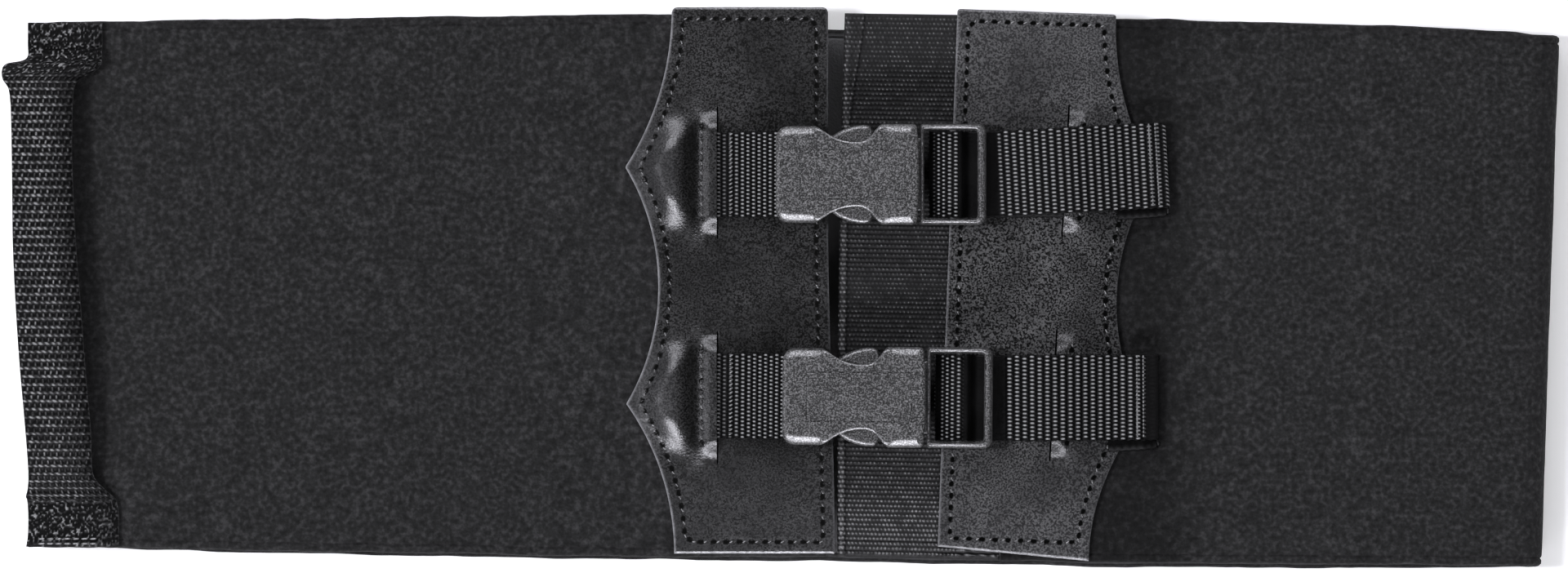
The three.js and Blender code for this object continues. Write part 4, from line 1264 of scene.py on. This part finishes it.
def socket_outline():
    s = SOCKET
    tail, waist, mouth = s["tail_half"], s["waist_half"], s["mouth_half"]
    corner, end, tip = s["corner"], s["length"], s["mouth_corner"]
    half = [
        np.array([(0, 0), (0, tail * 0.4), (0, tail - corner)]),
        bezier([(0, tail - corner), (0, tail), (corner, tail)], 8),
        bezier([(corner, tail), (s["waist_from"], tail)], 5),
        bezier([
            (s["waist_from"], tail),
            (s["waist_from"] + 2.2, tail - 0.3),
            (s["waist_x"] - 7.5, waist),
            (s["waist_x"], waist),
        ], 20),
        bezier([
            (s["waist_x"], waist),
            (s["waist_x"] + 4, waist),
            (s["mouth_from"] - 2.4, mouth - 1.6),
            (s["mouth_from"], mouth),
        ], 16),
        bezier([(s["mouth_from"], mouth), (end - tip, mouth)], 5),
        bezier([(end - tip, mouth), (end, mouth), (end, mouth - tip)], 6),
        bezier([(end, mouth - tip), (end + s["bow"], mouth / 2), (end + s["bow"], 0)], 8),
    ]
    return mirrored(np.concatenate(half))


def buckle_socket(row):
    s = SOCKET
    outline = socket_outline()
    inside = (outline[:, 0] > s["waist_from"] + 0.4) & (outline[:, 0] < s["mouth_from"] - 0.1)
    at_mouth = outline[:, 0] > s["length"] - 0.4
    at_tail = outline[:, 0] < 0.3
    share = np.where(inside, 0.22, np.where(at_mouth, 0.3, np.where(at_tail, 0.4, 1.0)))
    for _ in range(9):
        share = (np.roll(share, 1) + 2 * share + np.roll(share, -1)) / 4
    body = to_bmesh(*rounded_prism(outline, 0, s["thick"], SOCKET_EDGE, share))
    steps = [("DIFFERENCE", block(CAVITY)), ("DIFFERENCE", block(STRAP_SLOT)), ("UNION", block(SOCKET_BAR))]
    line, wide = PANEL["line"], PANEL["half"]
    groove = {**PANEL, "low": s["thick"] - PANEL["depth"], "high": s["thick"] + 1, "bevel": 0}
    for x in (PANEL["from"], PANEL["to"]):
        steps.append(("DIFFERENCE", block({**groove, "from": x, "to": x + line})))
    for y in (wide - line / 2, line / 2 - wide):
        steps.append(("DIFFERENCE", block({**groove, "half": line / 2}, y)))
    points, faces = combined(body, steps)
    add_buckle(row, "socket", points, faces)


def add_buckle(row, part, points, faces):
    points = on_deck(points, row)
    name = f"{row['name']}_buckle_{part}"
    piece = add_piece(f"moulded_{name}", points, faces, PLASTIC, "plastic", sharp=38)
    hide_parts(name)


def rounded_box_outline(from_x, to_x, half, corners, count=8):
    """A rectangle symmetric in y, anticlockwise, with the corner radii at its low and high x."""
    low, high = corners
    upper = [
        bezier([(from_x, half - low), (from_x, half), (from_x + low, half)], count),
        bezier([(from_x + low, half), (to_x - high, half)], 4),
        bezier([(to_x - high, half), (to_x, half), (to_x, half - high)], count),
        bezier([(to_x, half - high), (to_x, 0)], 3),
    ]
    return mirrored(np.concatenate([[(from_x, 0), (from_x, half - low)], *upper]))


def ladder_frame():
    """The plug's frame: a closed ring whose section is rounded on all sides."""
    p = PLUG
    outer = rounded_box_outline(p["from"], p["to"], p["half"], (0.9, p["corner"]))
    window = (p["window_corner"] * 0.6, p["window_corner"])
    inner = rounded_box_outline(p["window_from"], p["window_to"], p["window_half"], window)
    low, high = p["low"], p["high"]
    section = []
    for share, height in LADDER_SECTION:
        z = high + height if height <= 0 else low + height
        section.append(np.column_stack([inner + (outer - inner) * share, np.full(len(outer), z)]))
    rings = np.array(section)
    count, size = rings.shape[:2]
    i, j = np.meshgrid(np.arange(count), np.arange(size), indexing="ij")
    k, m = (i + 1) % count, (j + 1) % size
    quads = np.stack([i * size + j, i * size + m, k * size + m, k * size + j], 2).reshape(-1, 4)
    return to_bmesh(rings.reshape(-1, 3), quads.tolist())


def prong(side):
    """A springy arm whose button fills the cutout in the side of the socket."""
    g = PRONG
    outline = np.concatenate([
        [(STEM["from"] + 3, g["inner_half"]), (g["tip"] + 1.5, g["inner_half"] + 0.6)],
        bezier([
            (g["tip"] + 1.5, g["inner_half"] + 0.6),
            (g["tip"] - 0.6, g["tip_half"]),
            (g["tip"] + 1.4, g["tip_half"] + 2.2),
        ], 7),
        bezier([
            (g["tip"] + 1.4, g["tip_half"] + 2.2),
            (g["button"] - 5.5, g["button_half"] - 0.2),
            (g["button"], g["button_half"]),
        ], 12),
        bezier([
            (g["button"], g["button_half"]),
            (g["heel"], g["button_half"]),
            (g["heel"], STEM["half"] + 1.4),
        ], 6),
        [(g["heel"] + 1, STEM["half"]), (STEM["from"] + 3, STEM["half"])],
    ])
    outline = outline * [1, side]
    if side > 0:
        outline = outline[::-1]
    return to_bmesh(*rounded_prism(outline, STEM["low"], STEM["high"], PRONG_EDGE, 0.7))


def buckle_plug(row):
    solids = [*map(block, (PLUG_BAR, STEM, TONGUE)), prong(1), prong(-1)]
    steps = [("UNION", solid) for solid in solids]
    points, faces = combined(ladder_frame(), steps)
    add_buckle(row, "plug", points, faces)


# Webbing of the closures, in the frame of its buckle


def rounded_way(corners, steps=10):
    """A way through corners (x, z, radius, y), each rounded to its radius."""
    points = np.array([(x, y, z) for x, z, _, y in corners], float)
    way = []
    for i, (_, _, radius, _) in enumerate(corners):
        here = points[i]
        if not radius:
            way.append(here[None])
            continue
        back, on = points[i - 1] - here, points[i + 1] - here
        back_length, on_length = np.linalg.norm(back), np.linalg.norm(on)
        turn = math.acos(np.clip(back @ on / back_length / on_length, -1, 1))
        reach = min(radius / math.tan(turn / 2), back_length * 0.48, on_length * 0.48)
        start, end = here + back / back_length * reach, here + on / on_length * reach
        way += [start[None], bezier([start, here, end], steps)]
    return np.concatenate(way)


def weave(along, across, width, float_length, tight):
    """1 on the crown of each yarn that rides over the others, 0 in the dips between.

    Between the two ends of tight the yarns are gathered closer along the strap.
    """
    column = (along + GATHER * np.clip(along - tight[0], 0, tight[1] - tight[0])) / float_length
    k = np.floor(column)
    place = across * YARNS / width + 0.5 * (k % 2)
    return np.abs(np.sin(np.pi * place)) ** 0.8 * np.sin(np.pi * (column - k)) ** 0.6


def webbing_strap(node, row, way, float_length, lean_of, plain_of, tight=(0, 0)):
    """A strap woven along a way; its first face is the one on the left of the way, seen from -Y."""
    length = run_along(way)
    along = steps_between(0, length[-1], float_length / 5)
    line = np.stack([np.interp(along, length, way[:, k]) for k in range(3)], 1)
    ahead = np.gradient(line, axis=0)[:, [0, 2]]
    ahead /= np.linalg.norm(ahead, axis=1)[:, None]
    half_width, half = WEB["width"] / 2, WEB["thick"] / 2
    face_v = np.linspace(half_width - 0.25, -half_width + 0.25, 6 * YARNS - 2)
    under_v = np.linspace(-half_width + 0.3, half_width - 0.3, 15)
    across = face_v + half_width + 0.05
    plain = plain_of(line[:, 0], along)[:, None]
    relief = weave(along[:, None], across, WEB["width"] + 0.1, float_length, tight) * (1 - plain)
    scallop = 0.14 * np.cos(2 * np.pi * along / float_length)[:, None]
    edge = np.array([0.06, 0.0, 0.06])
    rise = np.array([0.55, 0.0, -0.55])
    ones = np.ones((len(along), 1))
    ring_v = np.hstack([
        ones * face_v,
        -(half_width - edge) - scallop,
        ones * under_v,
        (half_width - edge[::-1]) + scallop,
    ])
    off = np.hstack([
        half - WEAVE_DEPTH * (1 - relief),
        ones * rise * half,
        -half + 0.05 * np.cos(2 * np.pi * along / float_length)[:, None] + 0 * under_v,
        ones * rise[::-1] * half,
    ])
    lean = lean_of(line[:, 0], along)[:, None]
    rings = np.stack([
        line[:, 0:1] - ahead[:, 1:2] * off - lean * ring_v,
        line[:, 1:2] + ring_v,
        line[:, 2:3] + ahead[:, 0:1] * off,
    ], 2)
    # Colour from the relief: painted shade in the dips and painted highlights on the floats; plain parts
    # get one dark tone, painted shade where the strap rises in the ladder's window and past the bar
    mark = np.full(ring_v.shape, 0.35)
    mark[:, : len(face_v)] = relief + 0.58 * plain
    body = loft(on_deck(rings, row))
    piece = add_piece(f"webbing_{node}", *body, WEBBING, "webbing", {"relief": mark})
    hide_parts(node)
    return piece, length[-1]


def short_strap(row):
    """Out of the left slit, over the socket's bar, back below and sewn to itself."""
    slit, mid = row["left_slit"], WEB["thick"] / 2
    over = SOCKET_BAR["high"] + CLEAR + mid
    under = SOCKET_BAR["low"] - CLEAR - mid
    turn = SOCKET_BAR["to"] + CLEAR + mid
    upper = WEB["thick"] + CLEAR + mid
    hidden = PATCH_LOW - DECK + mid
    way = rounded_way([
        (slit - SHORT_STRAP["sewn"], hidden, 0, 0),
        (slit - SLIT_WAY["foot"], hidden, 4, 0),
        (slit - SLIT_WAY["lip"], mid + 0.1, 2, 0),
        (slit + SHORT_STRAP["joined"], upper + 0.1, 3, 0),
        (-SHORT_STRAP["lift"], upper + 0.4, 6, 0),
        (0.6, over, 3, 0),
        (turn, over, 1.6, 0),
        (turn, under, 1.6, 0),
        (0.4, under, 3, 0),
        (-SHORT_STRAP["lift"] / 2, mid, 4, 0),
        (slit + SHORT_STRAP["end"], mid, 0, 0),
    ])
    node = f"{row['name']}_short_strap"

    def lean_of(x, s):
        return 0 * x

    def plain_of(x, s):
        """How flat the weave is worn beside the slit."""
        started = smoothstep(x - slit, *SHORT_STRAP["dull_start"])
        ended = smoothstep(x - slit, *SHORT_STRAP["dull_end"])
        return SHORT_STRAP["dull"] * started * (1 - ended)

    piece, length = webbing_strap(node, row, way, FLOAT["short"], lean_of, plain_of)
    tack = np.linspace(-BAR_TACK["half"], BAR_TACK["half"], BAR_TACK["count"])
    x = slit + BAR_TACK["out"] - BAR_TACK["step"][0] / 2
    height = upper + 0.1 + mid - 0.2
    starts = np.stack([x + 0 * tack, tack, height + 0 * tack], 1)
    ends = starts + BAR_TACK["step"]
    starts, ends = on_deck(starts, row), on_deck(ends, row)
    thread = stitches(f"bar_tack_{node}", starts, ends, BAR_TACK["radius"])


def long_strap(row):
    """Out of the right slit, up and over the ladder's bar, and back as a free tail with a folded hem."""
    slit, tail, swing = row["right_slit"], row["tail"], row["swing"]
    mid = WEB["thick"] / 2
    hidden = PATCH_LOW - DECK + mid
    second = WEB["thick"] + CLEAR + mid
    over = PLUG_BAR["high"] + CLEAR + mid
    front = PLUG["window_from"] + LONG_STRAP["front"]
    rear = PLUG_BAR["to"] + CLEAR + mid + LONG_STRAP["rear"]
    hump = BULGE[0, 1] + LEATHER_T - (DECK - PATCH_LOW) + WEB["thick"] / 2 + 0.6

    def on_tail(x, z, radius):
        return (x, z, radius, swing * (x - PLUG["to"]) / (tail - PLUG["to"]))

    way = rounded_way([
        (slit + LONG_STRAP["sewn"], hidden, 0, 0),
        (slit + SLIT_WAY["foot"], hidden, 4, 0),
        (slit + SLIT_WAY["lip"], mid + 0.1, 2, 0),
        (slit - LONG_STRAP["flat"], mid, 6, 0),
        (front, mid, 1.1, 0),
        (front, mid + LONG_STRAP["rise"], 1.1, 0),
        (PLUG_BAR["from"] - 0.2, over - 0.2, 3, 0),
        (rear, over, 1.6, 0),
        (rear + LONG_STRAP["drop"], second, 2.2, 0),
        on_tail(PLUG["to"], second, 0),
        on_tail(slit + TAIL_HUMP["from"], second, 12),
        on_tail(slit - TAIL_HUMP["flat"], hump, 8),
        on_tail(slit + TAIL_HUMP["flat"], hump, 8),
        on_tail(slit + TAIL_HUMP["to"], second, 12),
        on_tail(tail - TAIL_HEM["roll"], second, 6),
        on_tail(tail - mid, second - row["roll"], 0.75),
        (tail - mid, mid - row["roll"], 0.75, swing - TAIL_HEM["drop"] * 0.8),
        (tail - TAIL_HEM["roll"], mid, 6, swing - TAIL_HEM["drop"]),
        (tail - TAIL_HEM["length"], mid, 0, swing - TAIL_HEM["drop"] * 1.2),
    ])
    slope = swing / (tail - PLUG["to"])
    run = run_along(way)
    turned = run[np.argmin(way[:, 0])]
    crossed = run[np.argmax((run > turned) & (way[:, 0] > PLUG_BAR["to"]))]

    def lean_of(x, s):
        return slope * smoothstep(x, PLUG["to"] - 4, PLUG["to"] + 6) * (s > crossed)

    def plain_of(x, s):
        """How flat and dark the weave is made: flattened with painted shade where it rises into the
        ladder's window and just past the bar, and worn flat beyond the hem.
        """
        # Painted shade with the weave flattened: where the strap rises in the window's shadow, and just
        # past the bar in its shadow
        rising = 0.9 * (1 - smoothstep(x, front - 0.2, front + 3.2)) * (s > turned)
        shaded_past_bar = 0.95 * (1 - smoothstep(x, PLUG["to"] + 3.2, PLUG["to"] + 4.4))
        hemmed = row["dull"] * smoothstep(x, tail - row["hem"], tail - row["hem"] + 0.8)
        return np.where(s > crossed, np.maximum(shaded_past_bar, hemmed), rising)

    node = f"{row['name']}_long_strap"
    tight = (turned, crossed)
    piece, length = webbing_strap(node, row, way, FLOAT["long"], lean_of, plain_of, tight)
    v = np.linspace(HEM_STITCH["from"], HEM_STITCH["to"], HEM_STITCH["count"])
    starts = []
    for x in (tail - row["hem"] - HEM_STITCH["apart"], tail - row["hem"]):
        y = swing * (x - PLUG["to"]) / (tail - PLUG["to"])
        starts.append(np.stack([x - slope * v, y + v, second + mid + 0.05 + 0 * v], 1))
    starts = np.concatenate(starts)
    ends = on_deck(starts + [0, HEM_STITCH["dash"], 0], row)
    thread = stitches(f"hem_{node}", on_deck(starts, row), ends, HEM_STITCH["radius"])


# Hand loop


def catmull_rom(table, at):
    """Rows of a table read at fractional row numbers on a smooth curve."""
    first, last = 2 * table[0] - table[1], 2 * table[-1] - table[-2]
    rows = np.concatenate([[first], table, [last]])
    i = np.clip(np.floor(at).astype(int), 0, len(table) - 2)
    t = (at - i)[:, None]
    a, b, c, d = (rows[i + k] for k in range(4))
    curve = 2 * b + (c - a) * t + (2 * a - 5 * b + 4 * c - d) * t**2
    return 0.5 * (curve + (3 * b - a - 3 * c + d) * t**3)


def knit(along, across):
    """1 on the thin rows of slanting stitches and the posts between them, 0 in the holes of the knit."""
    row = along / KNIT["row"]
    k = np.round(row)
    off = row - k
    place = across / KNIT["dash"] + 0.16 * noise(across, along, 2.7, 95)
    dash = 0.5 + 0.5 * np.cos(2 * np.pi * (place + 0.5 * (k % 2) + KNIT["slant"] * off))
    ridge = smoothstep(0.27 - np.abs(off), 0, 0.17)
    post = 0.5 + 0.5 * np.cos(2 * np.pi * (place + 0.5 * (np.floor(row) % 2) + 0.25))
    posts = (0.72 + 0.25 * noise(across, along, 2.1, 96)) * post**2 * smoothstep(np.abs(off), 0.15, 0.35)
    uneven = 0.85 + 0.3 * noise(across, along, 1.1, 97)
    return np.clip(np.maximum(ridge * (0.42 + 0.58 * dash), posts) * uneven, 0, 1)


def hand_loop():
    dense = np.linspace(0, len(HAND_LOOP) - 1, 2200)
    rows = catmull_rom(HAND_LOOP, dense)
    middle = np.stack([(rows[:, 1] + rows[:, 2]) / 2, rows[:, 0], rows[:, 3:5].mean(1)], 1)
    length = run_along(middle)
    along = with_ends(0, length[-1], 0.3)
    y, left, right, rise_left, rise_right, crown = catmull_rom(
        HAND_LOOP, np.interp(along, length, dense)
    ).T[:, :, None]
    share = np.linspace(0.01, 0.99, 96)
    under = np.linspace(0.985, 0.015, 14)

    def surface(s):
        """Height of the loop's underside across it, and how near a point is to an edge."""
        edge = np.abs(2 * s - 1)
        rise = rise_left * (1 - s) + rise_right * s
        fold_y = LOOP_FOLD["y"] + (left + (right - left) * s - LOOP_FOLD["x"]) * LOOP_FOLD["slope"]
        folded = LOOP_FOLD["step"] * smoothstep(fold_y - y, -0.3, 0.8) * (y > 0)
        rise = np.maximum(np.maximum(rise, folded), 0)
        return FLAP_TOP + CLEAR + rise + np.maximum(crown, 0) * (1 - edge**2), edge

    s_along = along[:, None]
    across = (share - 0.5) * (right - left)
    on_tab = smoothstep(np.abs(y), KNIT["tab"], KNIT["tab"] + 4)
    crush = on_tab * 0.75
    relief = knit(
        s_along + crush * noise(s_along, across, 2.6, 91),
        across + crush * noise(s_along, across, 2.2, 92),
    )
    dots = smoothstep(noise(s_along, across, 0.5, 94), 0.0, 0.7)
    relief = relief + (0.25 * relief + 0.7 * dots - relief) * on_tab
    thin = tapered(len(along))
    thick = LOOP_T * thin
    base, edge = surface(share)
    body = thick * (1 - 0.4 * edge**8)
    top_z = base + body - KNIT["depth"] * (1 - relief) * thin
    low_base, low_edge = surface(under)
    low_z = low_base + thick * 0.15 * low_edge**6
    side_left, side_right = surface(np.zeros(1))[0], surface(np.ones(1))[0]
    ring_x = np.hstack([left + (right - left) * share, right, left + (right - left) * under, left])
    ring_z = np.hstack([top_z, side_right + thick / 2, low_z, side_left + thick / 2])
    ring_y = np.broadcast_to(y, ring_x.shape)
    mark = np.full(ring_x.shape, 0.5)
    # painted shade: the right part of the loop's top darker, as it turns away from the key light
    mark[:, : len(share)] = relief * (1 - 0.3 * smoothstep(share, 0.5, 0.95))
    piece = add_piece(
        "webbing_hand_loop",
        *loft(np.stack([ring_x, ring_y, ring_z], 2)),
        KNITTED,
        "webbing",
        {"relief": mark},
    )
    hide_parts("hand_loop")
    starts = []
    for seam_y in LOOP_SEAMS["y"]:
        x = np.arange(LOOP_SEAMS["from"], LOOP_SEAMS["to"], LOOP_SEAMS["pitch"])
        starts.append(np.stack([x, seam_y + 0 * x, FLAP_TOP + CLEAR + LOOP_T - 0.1 + 0 * x], 1))
    starts = np.concatenate(starts)
    thread = stitches("stitches_hand_loop", starts, starts + [LOOP_SEAMS["dash"], 0.1, 0], 0.26)


# The belt
main_band()
left_flap()
stretch_panel()
for patch in PATCHES:
    leather_patch(patch)
for closure in CLOSURES:
    buckle_socket(closure)
    buckle_plug(closure)
    short_strap(closure)
    long_strap(closure)
hand_loop()


# Floor, light and camera


def floor():
    bpy.ops.mesh.primitive_plane_add(size=12, location=(0, 0, -0.0002))
    plane = bpy.context.object
    plane.name = "floor"
    material, tree, shader = new_material(
        "paper", Roughness=0.9, Specular_IOR_Level=0.1, Emission_Color=(1, 1, 1, 1), Emission_Strength=0.3
    )
    tone = add_ramp(tree, add_noise(tree, 400, 2), [(0.2, 0.86), (0.8, 0.89)])
    tree.links.new(tone, shader.inputs["Base Color"])
    plane.data.materials.append(material)


# Each light: name, place, size, power, and whether it serves matt and glossy surfaces
LIGHTS = [
    ("key_light", (-2.2, 0.1, 3.4), (0.5, 0.9), 145, True, False),
    ("far_light", (-0.1, 1.1, 0.78), (1.3, 0.3), 7, True, True),
    ("near_light", (-0.1, -1.1, 0.78), (1.3, 0.3), 8.5, True, True),
    ("right_light", (1.5, 0.0, 1.0), (0.5, 0.9), 4.5, True, False),
    ("far_strip", (-0.1, 1.1, 0.78), (1.3, 0.25), 38, False, True),
    ("near_strip", (-0.1, -1.1, 0.78), (1.3, 0.25), 74, False, True),
    ("left_strip", (-1.3, 0.0, 1.0), (0.25, 1.0), 4, False, True),
]


def softbox(name, place, size, power, diffuse, glossy):
    """A rectangular light turned to the belt."""
    light = bpy.data.lights.new(name, "AREA")
    light.shape = "RECTANGLE"
    light.size, light.size_y = size
    light.energy = power
    light.color = (0.98, 0.975, 1.05)
    lamp = bpy.data.objects.new(name, light)
    lamp.location = place
    lamp.rotation_euler = (-Vector(place)).to_track_quat("-Z", "Y").to_euler()
    lamp.visible_diffuse = diffuse
    lamp.visible_glossy = glossy
    lamp.visible_camera = False
    bpy.context.scene.collection.objects.link(lamp)


def studio():
    world = bpy.data.worlds.new("studio")
    world.use_nodes = True
    world.node_tree.nodes["Background"].inputs["Color"].default_value = (1, 1, 1, 1)
    world.node_tree.nodes["Background"].inputs["Strength"].default_value = 0.12
    bpy.context.scene.world = world
    for light in LIGHTS:
        softbox(*light)
    bpy.context.scene.view_settings.view_transform = "Standard"


VIEW = {"height": 5.0, "aim": (0.36, 0.36), "width": 457.1, "level": 15.0, "sensor": 36.0}


def camera():
    """Straight above the belt; the picture is as wide as its width at the level of the belt's face."""
    data = bpy.data.cameras.new("camera")
    data.sensor_width = VIEW["sensor"]
    data.lens = VIEW["sensor"] * (VIEW["height"] / MM - VIEW["level"]) / VIEW["width"]
    view = bpy.data.objects.new("camera", data)
    aim = (np.array(VIEW["aim"]) + ROW_SHIFT[:2]) * MM
    view.location = (*aim, VIEW["height"])
    bpy.context.scene.collection.objects.link(view)
    bpy.context.scene.camera = view


floor()
studio()
camera()
